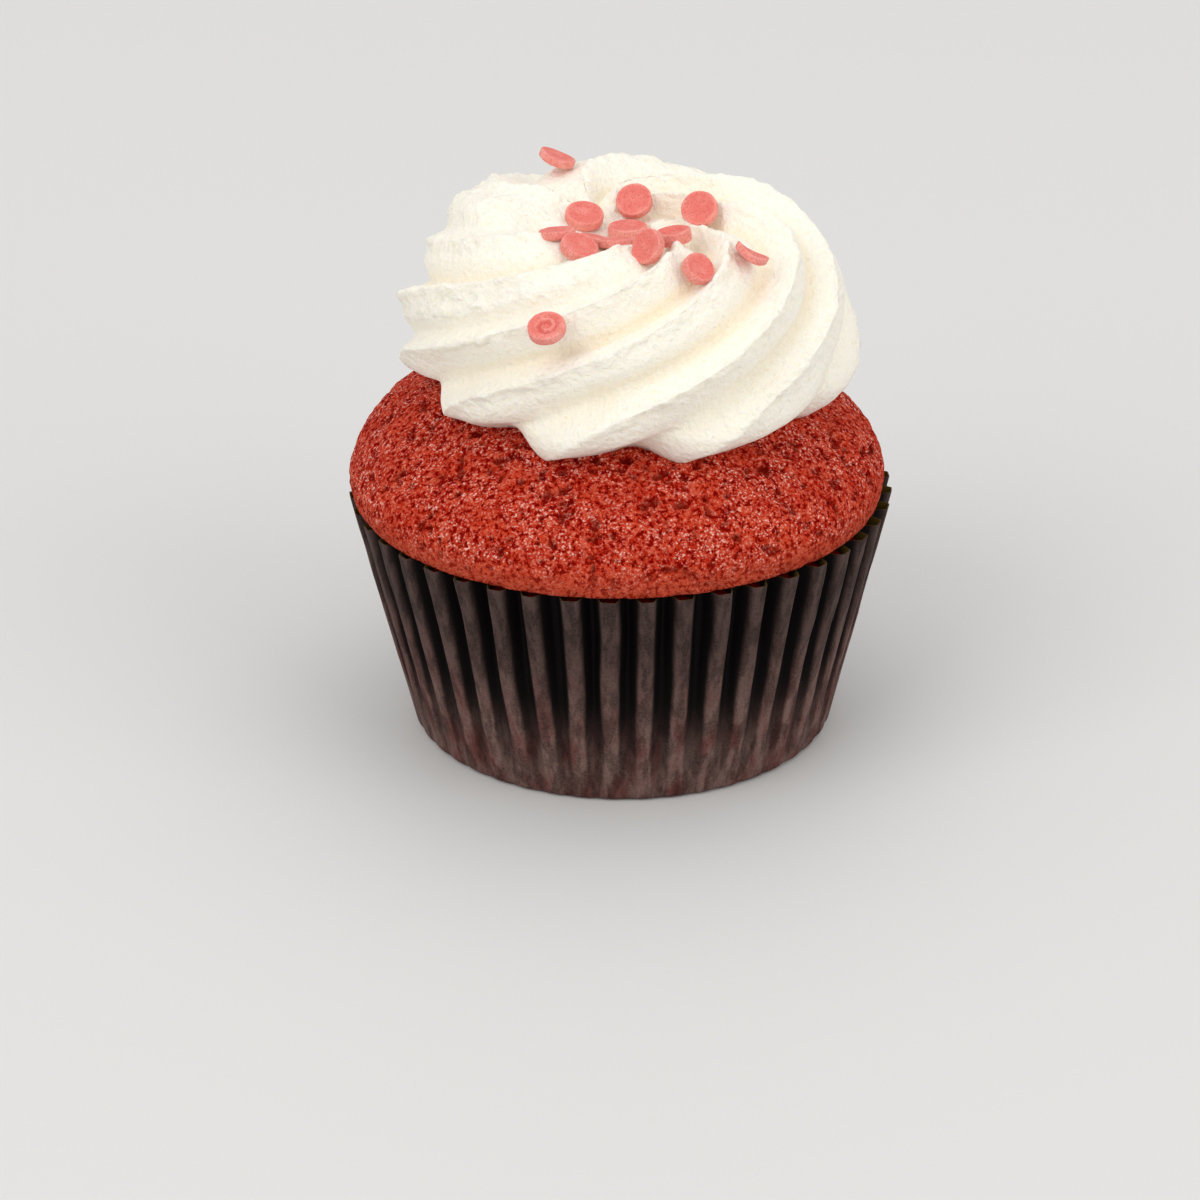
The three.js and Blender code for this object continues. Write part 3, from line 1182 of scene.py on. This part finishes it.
RIDGES = (
    Ridge(205.5, 0.94, -0.6, 70, (0.09, 0.20)),
    Ridge(244.5, 0.96, -0.1, 85, (0.13, 0.26)),
    Ridge(286.0, 0.93, -0.4, 52, (0.20, 0.33), fill=0.4),
    Ridge(344.0, 0.98, 0.0, 10, (0.25, 0.60), (0.07, 0.22), fill=0.9),
    Ridge(404.0, 1.01, 1.2, -44, (0.16, 0.42), (0.09, 0.30), fill=1.9),
    Ridge(455.5, 1.02, -0.5, rising=(0.06, 0.26), fill=0.3),
    Ridge(494.0, 1.02, 0.9, rising=(0.10, 0.29), fill=1.2),
    Ridge(530.0, 0.995, 0.3, rising=(0.12, 0.32)),
)


@dataclass
class Swirl(Piece):
    """The piped swirl of cream.

    A place on it is given by along, which runs from 0 at the eye to 1 at the foot, and by
    ridge, which counts the ridges round and is whole on each crest.

    Attributes:
        sponge: The sponge that it sits on.
        profile: Radius and height of points from the eye to the foot, without the ridges.
        ridges: Its ridges, in their order round it.
        filled: The stretch within which the filled grooves get their fill.
        crowding: Angles to its nearer neighbour, in degrees, between which a ridge rises.
        twist: Angle in degrees by which a ridge winds from the foot to the eye.
        twist_onset: Power that keeps the ridges straight near the foot.
        twist_power: Power that winds them tighter near the eye.
        ridges_full: Place at which the ridges have gained their full height.
        ends_reach: The stretch within which their ends reach in or out of line.
        eye_height: Height of the ridges' wave at the eye.
        ridge_height: Its height where the ridges are full.
        skew: How far a crest leans towards one side.
        sharpness: How far a crest is drawn to an edge.
        eye: Centre of the eye.
        foot: Centre of the foot.
        drift_end: Place by which the centre has drifted from the eye's to the foot's.
        foot_settling: How far the last row is drawn in as it comes down onto the sponge.
        lip_rise: How steeply the surface near the foot has to stay above the sponge.
        sink: How far the foot sinks into the sponge's crumb.
        slow: Height of the slow swells.
        slow_size: Width of them.
        torn: Height of the torn grain on the crests.
        torn_waves: Heights of the ridges' wave between which that grain sets in.
        torn_starts: The stretch near the eye within which it sets in.
        torn_ends: The stretch near the foot within which it calms.
        torn_calmed: Share of it that is gone there.
        torn_lowest: Lowest value of its noise that still counts.
        grain: Height of the fine grain everywhere.
        grain_size: Width of the grain.
        streak: Height of the streaks along the ridges.
        streak_steps: Steps of their noise from ridge to ridge, and from the eye to the foot.
        relief_fade: Places between which all the relief sets in from the foot.
        groove_waves: Depths of the ridges' wave between which the painted warm shade in the grooves
            sets in.
        groove_starts: The stretch near the eye within which it sets in.
        groove_ends: The stretch towards the foot within which it fades.
        groove_faded: Share of it that is gone there.
        under_radii: Radii of the rows under the cream.
        fineness: Number of points that are worked out along the profile.
    """

    name: ClassVar[str] = "cream_swirl"
    slot: ClassVar[str] = "cream"
    node: ClassVar[str] = "frosting"
    finish: ClassVar[Finish] = CreamFinish()

    sponge: Sponge
    profile: tuple[Pair, ...] = (
        (0, 62.3),
        (5, 63.6),
        (10, 64.8),
        (15, 65.1),
        (20, 63.0),
        (24.7, 57.5),
        (25.7, 51.5),
        (25.6, 46.6),
        (21.6, 43.4),
    )
    ridges: tuple[Ridge, ...] = RIDGES
    filled: Pair = (0.22, 0.42)
    crowding: Pair = (4.0, 26.0)
    twist: float = 141.0
    twist_onset: float = 2.35
    twist_power: float = 2.0
    ridges_full: float = 0.45
    ends_reach: Pair = (0.3, 0.6)
    eye_height: float = 1.5
    ridge_height: float = 1.6
    skew: float = 0.5
    sharpness: float = 0.5
    eye: Pair = (0.9, -2.8)
    foot: Pair = (0.8, 0.2)
    drift_end: float = 0.5
    foot_settling: float = 0.75
    lip_rise: float = 6.0
    sink: float = 0.12
    slow: float = 0.25
    slow_size: float = 7.0
    torn: float = 0.5
    torn_waves: Pair = (0.15, 0.95)
    torn_starts: Pair = (0.02, 0.1)
    torn_ends: Pair = (0.72, 0.98)
    torn_calmed: float = 0.75
    torn_lowest: float = -0.2
    grain: float = 0.06
    grain_size: float = 1.3
    streak: float = 0.04
    streak_steps: Pair = (9.0, 6.0)
    relief_fade: Pair = (1.0, 0.93)
    groove_waves: Pair = (0.2, 1.0)
    groove_starts: Pair = (0.03, 0.2)
    groove_ends: Pair = (0.5, 0.9)
    groove_faded: float = 0.8
    under_radii: tuple[float, ...] = (6.0, 12.0, 17.5)
    fineness: int = 4000
    rows: int = 236
    columns_per_ridge: int = 50
    noise: Noise = Noise(37)

    def __post_init__(self) -> None:
        """Works out the profile: a curve through its points, measured by its own length.

        Between two points runs the cubic whose slope at each is half the step from the
        point before it to the point after it.
        """
        knots = np.array(self.profile, float)
        count = len(knots) - 1
        place = np.linspace(0, count, self.fineness)
        before = np.minimum(place.astype(int), count - 1)
        share = (place - before)[:, None]
        start, end = knots[before], knots[before + 1]
        slope_start = (end - knots[np.maximum(before - 1, 0)]) / 2
        slope_end = (knots[np.minimum(before + 2, count)] - start) / 2
        self.curve = (
            (2 * start - 2 * end + slope_start + slope_end) * share**3
            + (-3 * start + 3 * end - 2 * slope_start - slope_end) * share**2
            + slope_start * share
            + start
        )
        steps = np.linalg.norm(np.diff(self.curve, axis=0), axis=1)
        self.length = np.concatenate([[0], np.cumsum(steps)]) / steps.sum()
        tangent = np.gradient(self.curve, axis=0)
        self.tangent = tangent / np.linalg.norm(tangent, axis=1, keepdims=True)

    def read(self, table: Array, along: Array) -> tuple[Array, Array]:
        """Both columns of a table of the profile, at the places along it."""
        return tuple(np.interp(along, self.length, table[:, column]) for column in (0, 1))

    def azimuths(self, along: Array) -> list[Array]:
        """Azimuth in degrees of every ridge: each winds up towards the eye, and curls on."""
        wound = self.twist * (1 - along**self.twist_onset) ** self.twist_power
        return [
            item.foot + item.twist * wound + item.curl * (1 - ease(along, *item.curled))
            for item in self.ridges
        ]

    def ridges_before(self, ridge: Array) -> Array:
        """Number of the ridge just before each place."""
        return np.floor(ridge).astype(int) % len(self.ridges)

    def between(self, tables: Sequence[Array], ridge: Array, full_turn: float = 0.0) -> Array:
        """Value at each place, spread evenly from the ridge before it to the one after.

        Args:
            tables: One array for each ridge, with its value at each place along the swirl.
            ridge: The places' second coordinate.
            full_turn: What is added to a ridge's value each time round.

        Returns:
            A value for each place.
        """
        stacked = np.concatenate([*tables, tables[0] + full_turn], axis=1)
        before = self.ridges_before(ridge)[0]
        return mix(stacked[:, before], stacked[:, before + 1], ridge - np.floor(ridge))

    def risen(self, along: Array, ridge: Array) -> Array:
        """Share of its full height that each place has gained on the way from the eye.

        A ridge rises within its own stretch, and stays low while its nearer neighbour is
        less than a few degrees away.

        Args:
            along: Places along the swirl, as a column.
            ridge: Places across its ridges, as a row.

        Returns:
            The share at each place.
        """
        azimuths = self.azimuths(along)
        gaps = np.diff(np.stack([*azimuths, azimuths[0] + 360]), axis=0)
        nearer = np.minimum(gaps, np.roll(gaps, 1, axis=0))
        shares = [
            ease(along, *item.rising) * ease(gap, *self.crowding)
            for item, gap in zip(self.ridges, nearer)
        ]
        return self.between(shares, ridge)

    def wave(self, along: Array, ridge: Array) -> Array:
        """Height across a ridge: 1 on its leaning crest, -1 in a groove without a fill.

        It is a cosine whose phase leans, mixed with the same wave drawn to an edge, and a
        filled groove is raised by a cosine of its own.

        Args:
            along: Places along the swirl, as a column.
            ridge: Places across its ridges, as a row.

        Returns:
            The height at each place.
        """
        straight = TURN * ridge
        in_groove = 1 - np.cos(straight)
        leaning = straight - self.skew * in_groove
        edge = 1 - 2 * np.abs(np.sin(leaning / 2))
        fills = np.array([item.fill for item in self.ridges])[self.ridges_before(ridge)]
        filling = fills * ease(along, *self.filled) * in_groove / 2
        return mix(np.cos(leaning), edge, self.sharpness) + filling

    def points(self, along: Array, ridge: Array) -> Array:
        """Points of the smooth swirl.

        The profile is turned about an axis that drifts from the eye to the foot's centre,
        and moved out or in along its own normal by the wave of the ridges.

        Args:
            along: Places along the swirl, as a column.
            ridge: Places across its ridges, as a row.

        Returns:
            The points, rows by columns by three.
        """
        radius, height = self.read(self.curve, along)
        tangent_out, tangent_up = self.read(self.tangent, along)
        grown = np.clip(along / self.ridges_full, 0, 1)
        swelling = mix(self.eye_height, self.ridge_height, grown) * self.risen(along, ridge)
        reaches = np.array([item.reach for item in self.ridges])
        nearest = reaches[np.round(ridge).astype(int) % len(self.ridges)]
        on_crest = ((1 + np.cos(TURN * ridge)) / 2) ** 2
        reaching = nearest * on_crest * ease(along, *self.ends_reach)
        offset = swelling * self.wave(along, ridge) + reaching
        drift = ease(along, 0.0, self.drift_end)
        angle = np.radians(self.between(self.azimuths(along), ridge, full_turn=360))
        x, y = (mix(eye, foot, drift) for eye, foot in zip(self.eye, self.foot))
        return turned(radius - offset * tangent_up, angle, height + offset * tangent_out, x, y)

    def relief(self, smooth: Array, along: Array, ridge: Array) -> Array:
        """Height of the fine relief: slow swells, torn crests, grain and streaks.

        Args:
            smooth: Points of the smooth swirl.
            along: Places along the swirl, as a column.
            ridge: Places across its ridges, as a row.

        Returns:
            The height at each point, which fades out at the foot.
        """
        wave = self.wave(along, ridge)
        crest = ease(wave, *self.torn_waves) * ease(along, *self.torn_starts)
        crest = crest * (1 - self.torn_calmed * ease(along, *self.torn_ends))
        grain = self.noise.fractal(smooth, self.grain_size)
        across, onward = self.streak_steps
        flow = places(ridge * across, along * onward, 0)
        height = (
            self.slow * self.noise.fractal(smooth, self.slow_size, octaves=2)
            + self.torn * crest * np.maximum(grain, self.torn_lowest)
            + self.grain * grain
            + self.streak * self.noise.fractal(flow, 1.0, octaves=2)
        )
        return height * ease(along, *self.relief_fade)

    def warmth(self, along: Array, ridge: Array) -> Array:
        """Share of the painted warm shade in the grooves at each place: strong where the wave is
        low.

        Args:
            along: Places along the swirl, as a column.
            ridge: Places across its ridges, as a row.

        Returns:
            The share at each place, which sets in at the eye and fades towards the foot.
        """
        deep_shade = ease(-self.wave(along, ridge), *self.groove_waves)
        faded = self.groove_faded * ease(along, *self.groove_ends)
        return deep_shade * ease(along, *self.groove_starts) * (1 - faded)

    def settle(self, points: Array, along: Array) -> Array:
        """Keeps the swirl above the sponge, and brings its last row down onto it.

        Args:
            points: Points of the swirl, from the foot to the eye.
            along: Place of each row along the swirl.

        Returns:
            The points in their last place.
        """
        settled = points.copy()
        lowest = self.sponge.dome_height(points[..., 0], points[..., 1]) - self.sink
        settled[..., 2] = np.maximum(points[..., 2], lowest + self.lip_rise * (1 - along))
        centre, last = np.array(self.foot), points[0]
        out = last[:, :2] - centre
        share = 1 - self.foot_settling * (last[:, 2] - lowest[0]) / np.linalg.norm(out, axis=-1)
        settled[0, :, :2] = centre + out * share[:, None]
        settled[0, :, 2] = self.sponge.dome_height(*settled[0, :, :2].T) - self.sink
        return settled

    def underside(self, foot: Array) -> Array:
        """Rings of the face that lies on the sponge.

        Args:
            foot: The foot's row. Every ring starts in the direction of its first point.

        Returns:
            The rings, from the middle outwards.
        """
        centre = self.sponge.centre_x
        radius = np.array(self.under_radii)[:, None]
        start = np.arctan2(foot[0, 1], foot[0, 0] - centre)
        angle = start + TURN * np.arange(len(foot)) / len(foot)
        height = self.sponge.dome_height(radius + centre, 0.0) - self.sink
        return turned(radius, angle, height, centre)

    def surfaces(self) -> list[Surface]:
        """Works out the swirl, with its relief and an underside that lies on the sponge.

        Returns:
            The swirl as one surface.
        """
        along = np.linspace(1, 0, self.rows + 1)[:-1, None]
        columns = len(self.ridges) * self.columns_per_ridge
        ridge = np.arange(columns)[None, :] / self.columns_per_ridge
        smooth = self.points(along, ridge)
        bumpy = smooth + self.relief(smooth, along, ridge)[..., None] * grid_normals(smooth)
        rows = self.settle(bumpy, along)
        under = self.underside(rows[0])
        # Share of the painted warm shade in the grooves.
        values = {"groove": np.concatenate([0 * under[..., 0], self.warmth(along, ridge)])}
        top_of_sponge = self.sponge.spring_height + self.sponge.rise - self.sink
        poles = ([self.sponge.centre_x, 0, top_of_sponge], [*self.eye, self.profile[0][1]])
        return [Surface(np.concatenate([under, rows]), poles, values)]


# ------------------------------------------------------------------------- sugar discs


@dataclass(frozen=True)
class SugarFinish(Finish):
    """Coral pink pressed sugar, chalky and matte, with painted highlight on the rim and the raised
    spiral and painted shade in the spiral's grooves.

    Attributes:
        coral: The sugar's own colour.
        chalk_and_highlight: Pale colour of the clouds, and of the painted highlight on the rim and
            the raised spiral.
        rough: Colour between the grains, and of the painted shade in the spiral's grooves.
        rougher: How much the powder adds to the roughness.
        powder_darkens: How the powder shows the colour between its grains.
        cloud_pales: How the clouds show the pale colour.
        highlight_share: Share of the pale colour painted as highlight on the rim and the raised
            spiral.
        pressed_shade_share: Share of the colour between the grains painted as shade in the pressed
            mark's grooves.
    """

    coral: Colour = linear("e5776c")
    # Also the painted highlight on the rim and the raised spiral.
    chalk_and_highlight: Colour = linear("f0a396")
    # Also the painted shade in the spiral's grooves.
    rough: Colour = linear("c2443e")
    roughness: float = 0.75
    rougher: float = 0.15
    glow: Glow = Glow(0.15, (1.0, 0.5, 0.4), 0.6)
    powder: Blotches = Blotches(0.25, detail=3.0, roughness=0.6)
    powder_darkens: Fade = Fade(0.5, 0.36, 0.45)
    powder_depth: float = 0.1
    cloud: Blotches = Blotches(1.4)
    cloud_pales: Fade = Fade(0.4, 0.7, 0.4)
    highlight_share: float = 0.5
    pressed_shade_share: float = 0.55

    def build(self) -> bpy.types.Material:
        """Makes the material from the mesh's rim value, a painted highlight, and its pressed value,
        a painted shade.

        Returns:
            The material.
        """
        bench = Bench("sugar")
        powder, cloud = bench.noise(self.powder), bench.noise(self.cloud)
        # Painted highlight on the rim and the raised spiral, with pale clouds.
        pale = bench.attribute("rim") * self.highlight_share + cloud.shown(self.cloud_pales)
        body = bench.blend(pale, self.coral, self.chalk_and_highlight)
        # Painted shade in the pressed spiral's grooves.
        pressed = bench.attribute("pressed") * self.pressed_shade_share
        rough = powder.shown(self.powder_darkens) + pressed
        return bench.surface(
            {
                "Base Color": bench.blend(rough, body, self.rough),
                "Roughness": self.roughness + self.rougher * powder,
                "Normal": bench.bump(powder, self.powder_depth),
                **self.glow.inputs(),
            }
        )


@dataclass(frozen=True)
class Disc:
    """A sugar disc.

    Attributes:
        centre: Its centre.
        lean: Lean of its face from level, in degrees.
        heading: Heading of that lean, in degrees.
        diameter: Its diameter.
        thickness: Its thickness at the rim.
        dimple: Depth by which each face sinks in the middle.
        bend: How far two opposite edges are curled up.
        mark: Height of the spiral pressed into each face.
    """

    centre: Triple
    lean: float
    heading: float
    diameter: float
    thickness: float
    dimple: float = 0.08
    bend: float = 0.0
    mark: float = 0.0

    def face(self) -> Array:
        """Direction that its upper face looks in."""
        lean, heading = math.radians(self.lean), math.radians(self.heading)
        return turned(math.sin(lean), heading, math.cos(lean))


DISCS = (
    Disc((-8.0, 12.7, 67.3), 22, 15, 4.4, 1.0, bend=0.2),
    Disc((1.3, 3.3, 65.6), 39, 254, 4.4, 1.2),
    Disc((9.0, -1.2, 66.4), 46, 248, 4.4, 1.2),
    Disc((-4.6, 0.3, 64.9), 18, 289, 4.6, 1.2),
    Disc((-7.8, -8.7, 66.4), 13, 112, 4.3, 1.0),
    Disc((-5.2, -11.8, 65.8), 23, 324, 4.6, 1.2),
    Disc((-3.1, -7.6, 65.0), 21, 48, 4.2, 1.0),
    Disc((0.5, -1.3, 63.8), 4, 115, 4.6, 1.2),
    Disc((2.8, -13.8, 66.8), 59, 222, 4.2, 1.2),
    Disc((5.8, -9.8, 66.5), 11, 149, 4.2, 1.5, dimple=0.4),
    Disc((8.6, -16.6, 65.2), 44, 314, 3.8, 1.2),
    Disc((14.7, -13.2, 65.4), 33, 24, 4.2, 0.95, bend=0.5),
    Disc((-8.9, -24.0, 60.9), 27, 250, 4.4, 1.2, dimple=0.24, mark=0.16),
    Disc((-0.9, -8.9, 65.3), 16, 97, 4.2, 1.0),
)


@dataclass
class SugarDiscs(Piece):
    """The flat sugar discs that lie and lean on the swirl, each a surface of its own.

    Attributes:
        discs: The discs.
        edge: Radius of the rounding along both edges of a disc.
        uneven: How far a disc's outline departs from a circle, as a share of its radius.
        uneven_size: Width of those departures, likewise.
        rough: Height of its surface's roughness.
        rough_size: Width of that roughness.
        dimple_ends: Where the dimple's slope starts and ends, as shares of the radius.
        rim_highlight_ends: Where the painted highlight on the rim starts and is complete, likewise.
        mark_ends: Where the spiral mark grows out of the middle, likewise.
        mark_pitch: Distance between the turns of that mark.
        mark_full: Height at which the mark's painted highlight is full, and depth at which its
            painted shade is full.
        first_ring: Radius of a face's first row, as a share of the flat face's.
        aside: Angle in radians from a disc's heading, and a rise, which give the direction
            that its own first axis is square to.
        first_seed: Seed of the first disc's noise, counted on for the others.
    """

    name: ClassVar[str] = "sugar_discs"
    slot: ClassVar[str] = "sugar"
    node: ClassVar[str] = "frosting"
    finish: ClassVar[Finish] = SugarFinish()

    discs: tuple[Disc, ...] = DISCS
    edge: float = 0.22
    uneven: float = 0.035
    uneven_size: float = 0.9
    rough: float = 0.035
    rough_size: float = 0.5
    dimple_ends: Pair = (0.4, 0.78)
    rim_highlight_ends: Pair = (0.8, 0.98)
    mark_ends: Pair = (0.05, 0.3)
    mark_pitch: float = 0.95
    mark_full: float = 0.16
    first_ring: float = 0.12
    aside: Pair = (1.0, 0.3)
    columns: int = 72
    face_rows: int = 12
    edge_rows: int = 6
    first_seed: int = 50

    def shape(self, disc: Disc, seed: int) -> Surface:
        """A disc lying level at the origin.

        The profile runs over the lower face, round the edge as two quarter circles, and
        back over the upper face. Its outline varies slowly round the disc, both faces sink
        in the middle, and the disc bends up with the square of the distance from one line.
        A spiral stands out of both faces and sinks between its turns: the cosine of the
        angle less one full turn for each pitch of the radius.

        Args:
            disc: The disc.
            seed: Seed of its own unevenness.

        Returns:
            Its surface, with the share of painted highlight on the rim and the raised spiral, and
            that of painted shade where the spiral sinks.
        """
        radius, half = disc.diameter / 2, disc.thickness / 2
        face = np.linspace(self.first_ring, 1, self.face_rows + 1)[:-1] * (radius - self.edge)
        quarter = np.linspace(0, math.pi / 2, self.edge_rows)
        bent = radius - self.edge + self.edge * np.sin(quarter)
        low = -half + self.edge * (1 - np.cos(quarter))
        out = np.concatenate([face, bent, bent[::-1], face[::-1]])[:, None]
        up = np.concatenate([face * 0 - half, low, -low[::-1], face * 0 + half])[:, None]
        angle = TURN * np.arange(self.columns)[None, :] / self.columns
        noise = Noise(seed)
        outline = 1 + self.uneven * noise.fractal(turned(1, angle, 0), self.uneven_size)
        out_grid = out * mix(1.0, outline, (out / radius) ** 2)
        bending = disc.bend * (out_grid * np.cos(angle) / radius) ** 2
        hollow = 1 - ease(out / radius, *self.dimple_ends)
        wound = np.cos(angle - TURN * out / self.mark_pitch)
        mark = disc.mark * hollow * ease(out / radius, *self.mark_ends) * wound
        level = turned(out_grid, angle, up * (1 - (disc.dimple * hollow - mark) / half) + bending)
        rough = self.rough * noise.fractal(level, self.rough_size, octaves=2)
        level += rough[..., None] * grid_normals(level)
        # Painted highlight on the rim and the raised spiral, painted shade where the spiral sinks.
        rim_and_spiral_highlight = ease(out / radius, *self.rim_highlight_ends) + ease(mark, 0, self.mark_full)
        values = {"rim": rim_and_spiral_highlight, "pressed": ease(mark, 0, -self.mark_full)}
        pole = half - disc.dimple
        return Surface(level, ([0, 0, -pole], [0, 0, pole]), values)

    def placed(self, disc: Disc, seed: int) -> Surface:
        """A disc in its place on the cream, turned so that its face looks its own way.

        Args:
            disc: The disc.
            seed: Seed of its own unevenness.

        Returns:
            Its surface.
        """
        face, (onward, rise) = disc.face(), self.aside
        side = np.cross(face, turned(1, math.radians(disc.heading) + onward, rise))
        side /= np.linalg.norm(side)
        turn = np.stack([side, np.cross(face, side), face])
        shape = self.shape(disc, seed)
        poles = tuple(disc.centre + np.array(pole) @ turn for pole in shape.poles)
        return Surface(disc.centre + shape.rows @ turn, poles, shape.values)

    def surfaces(self) -> list[Surface]:
        """Works out one surface for each disc."""
        return [self.placed(disc, seed) for seed, disc in enumerate(self.discs, self.first_seed)]


# ------------------------------------------------------------------------- studio


@dataclass(frozen=True)
class Lamp:
    """A square softbox.

    Attributes:
        place: Its place in metres.
        side: Its side in metres.
        power: Its power in watts.
    """

    place: Triple
    side: float
    power: float


class Softbox(Enum):
    """The studio's lamps."""

    KEY = Lamp((-0.9, -0.9, 1.2), 1.2, 10.2)
    FILL = Lamp((1.1, -0.8, 0.8), 1.2, 6.2)
    TOP = Lamp((0.1, 0.3, 1.5), 1.4, 4.6)


@dataclass(frozen=True)
class FloorFinish(Finish):
    """Plain pale matte floor."""

    colour: Colour = linear("d8d7d5")
    roughness: float = 0.6

    def build(self) -> bpy.types.Material:
        """Makes the material."""
        return Bench("floor").surface({"Base Color": self.colour, "Roughness": self.roughness})


@dataclass
class Studio:
    """Pale floor, soft light and the camera.

    Attributes:
        floor_side: Side of the floor in metres.
        sky_strength: Strength of the even white light from all round.
        aim: Point in metres that the lamps look at.
        camera_place: Place of the camera in metres.
        camera_pitch: Angle in degrees by which the camera looks down.
        lens: Its focal length.
        film: Width of its film.
    """

    floor_side: float = 8.0
    sky_strength: float = 0.66
    aim: Triple = (0.0, 0.0, 0.04)
    camera_place: Triple = (-0.002782, -0.616351, 0.315682)
    camera_pitch: float = 26.052
    lens: float = 168.0
    film: float = 36.0

    def build_floor(self) -> None:
        """Lays a plain pale floor under the object."""
        half = self.floor_side / 2
        mesh = bpy.data.meshes.new("floor")
        corners = [(-half, -half, 0), (half, -half, 0), (half, half, 0), (-half, half, 0)]
        mesh.from_pydata(corners, [], [(0, 1, 2, 3)])
        mesh.materials.append(FloorFinish().build())
        add_object("floor", mesh)

    def build_lights(self) -> None:
        """Sets up the softboxes and an even sky."""
        for box in Softbox:
            name, lamp = box.name.lower(), box.value
            light = bpy.data.lights.new(name, "AREA")
            light.size = lamp.side
            light.energy = lamp.power
            holder = add_object(name, light)
            holder.location = lamp.place
            x, y, z = np.array(self.aim) - lamp.place
            holder.rotation_euler = Euler((math.atan2(math.hypot(x, y), -z), 0, math.atan2(-x, y)))
        world = bpy.data.worlds.new("sky")
        world.use_nodes = True
        background = world.node_tree.nodes["Background"]
        background.inputs["Color"].default_value = (1, 1, 1, 1)
        background.inputs["Strength"].default_value = self.sky_strength
        bpy.context.scene.world = world

    def build_camera(self) -> None:
        """Sets up the camera."""
        lens = bpy.data.cameras.new("camera")
        lens.lens = self.lens
        lens.sensor_width = self.film
        camera = add_object("camera", lens)
        camera.location = self.camera_place
        camera.rotation_euler = Euler((math.radians(90 - self.camera_pitch), 0, 0))
        bpy.context.scene.camera = camera

    def build(self) -> None:
        """Builds the whole studio."""
        self.build_floor()
        self.build_lights()
        self.build_camera()
        bpy.context.scene.view_settings.view_transform = "Standard"
        LOG.info("studio: floor, %d softboxes and camera", len(Softbox))


# ------------------------------------------------------------------------- the cupcake


def main() -> None:
    """Builds the studio, then each piece in order on the frame's only body."""
    logging.basicConfig(level=logging.INFO, format="%(name)s: %(message)s")
    (body,) = frame["bodies"]
    Studio().build()
    case = PaperCase()
    sponge = Sponge(case)
    for piece in (case, sponge, Swirl(sponge), SugarDiscs()):
        piece.dress(body)


if __name__ == "__main__":
    main()
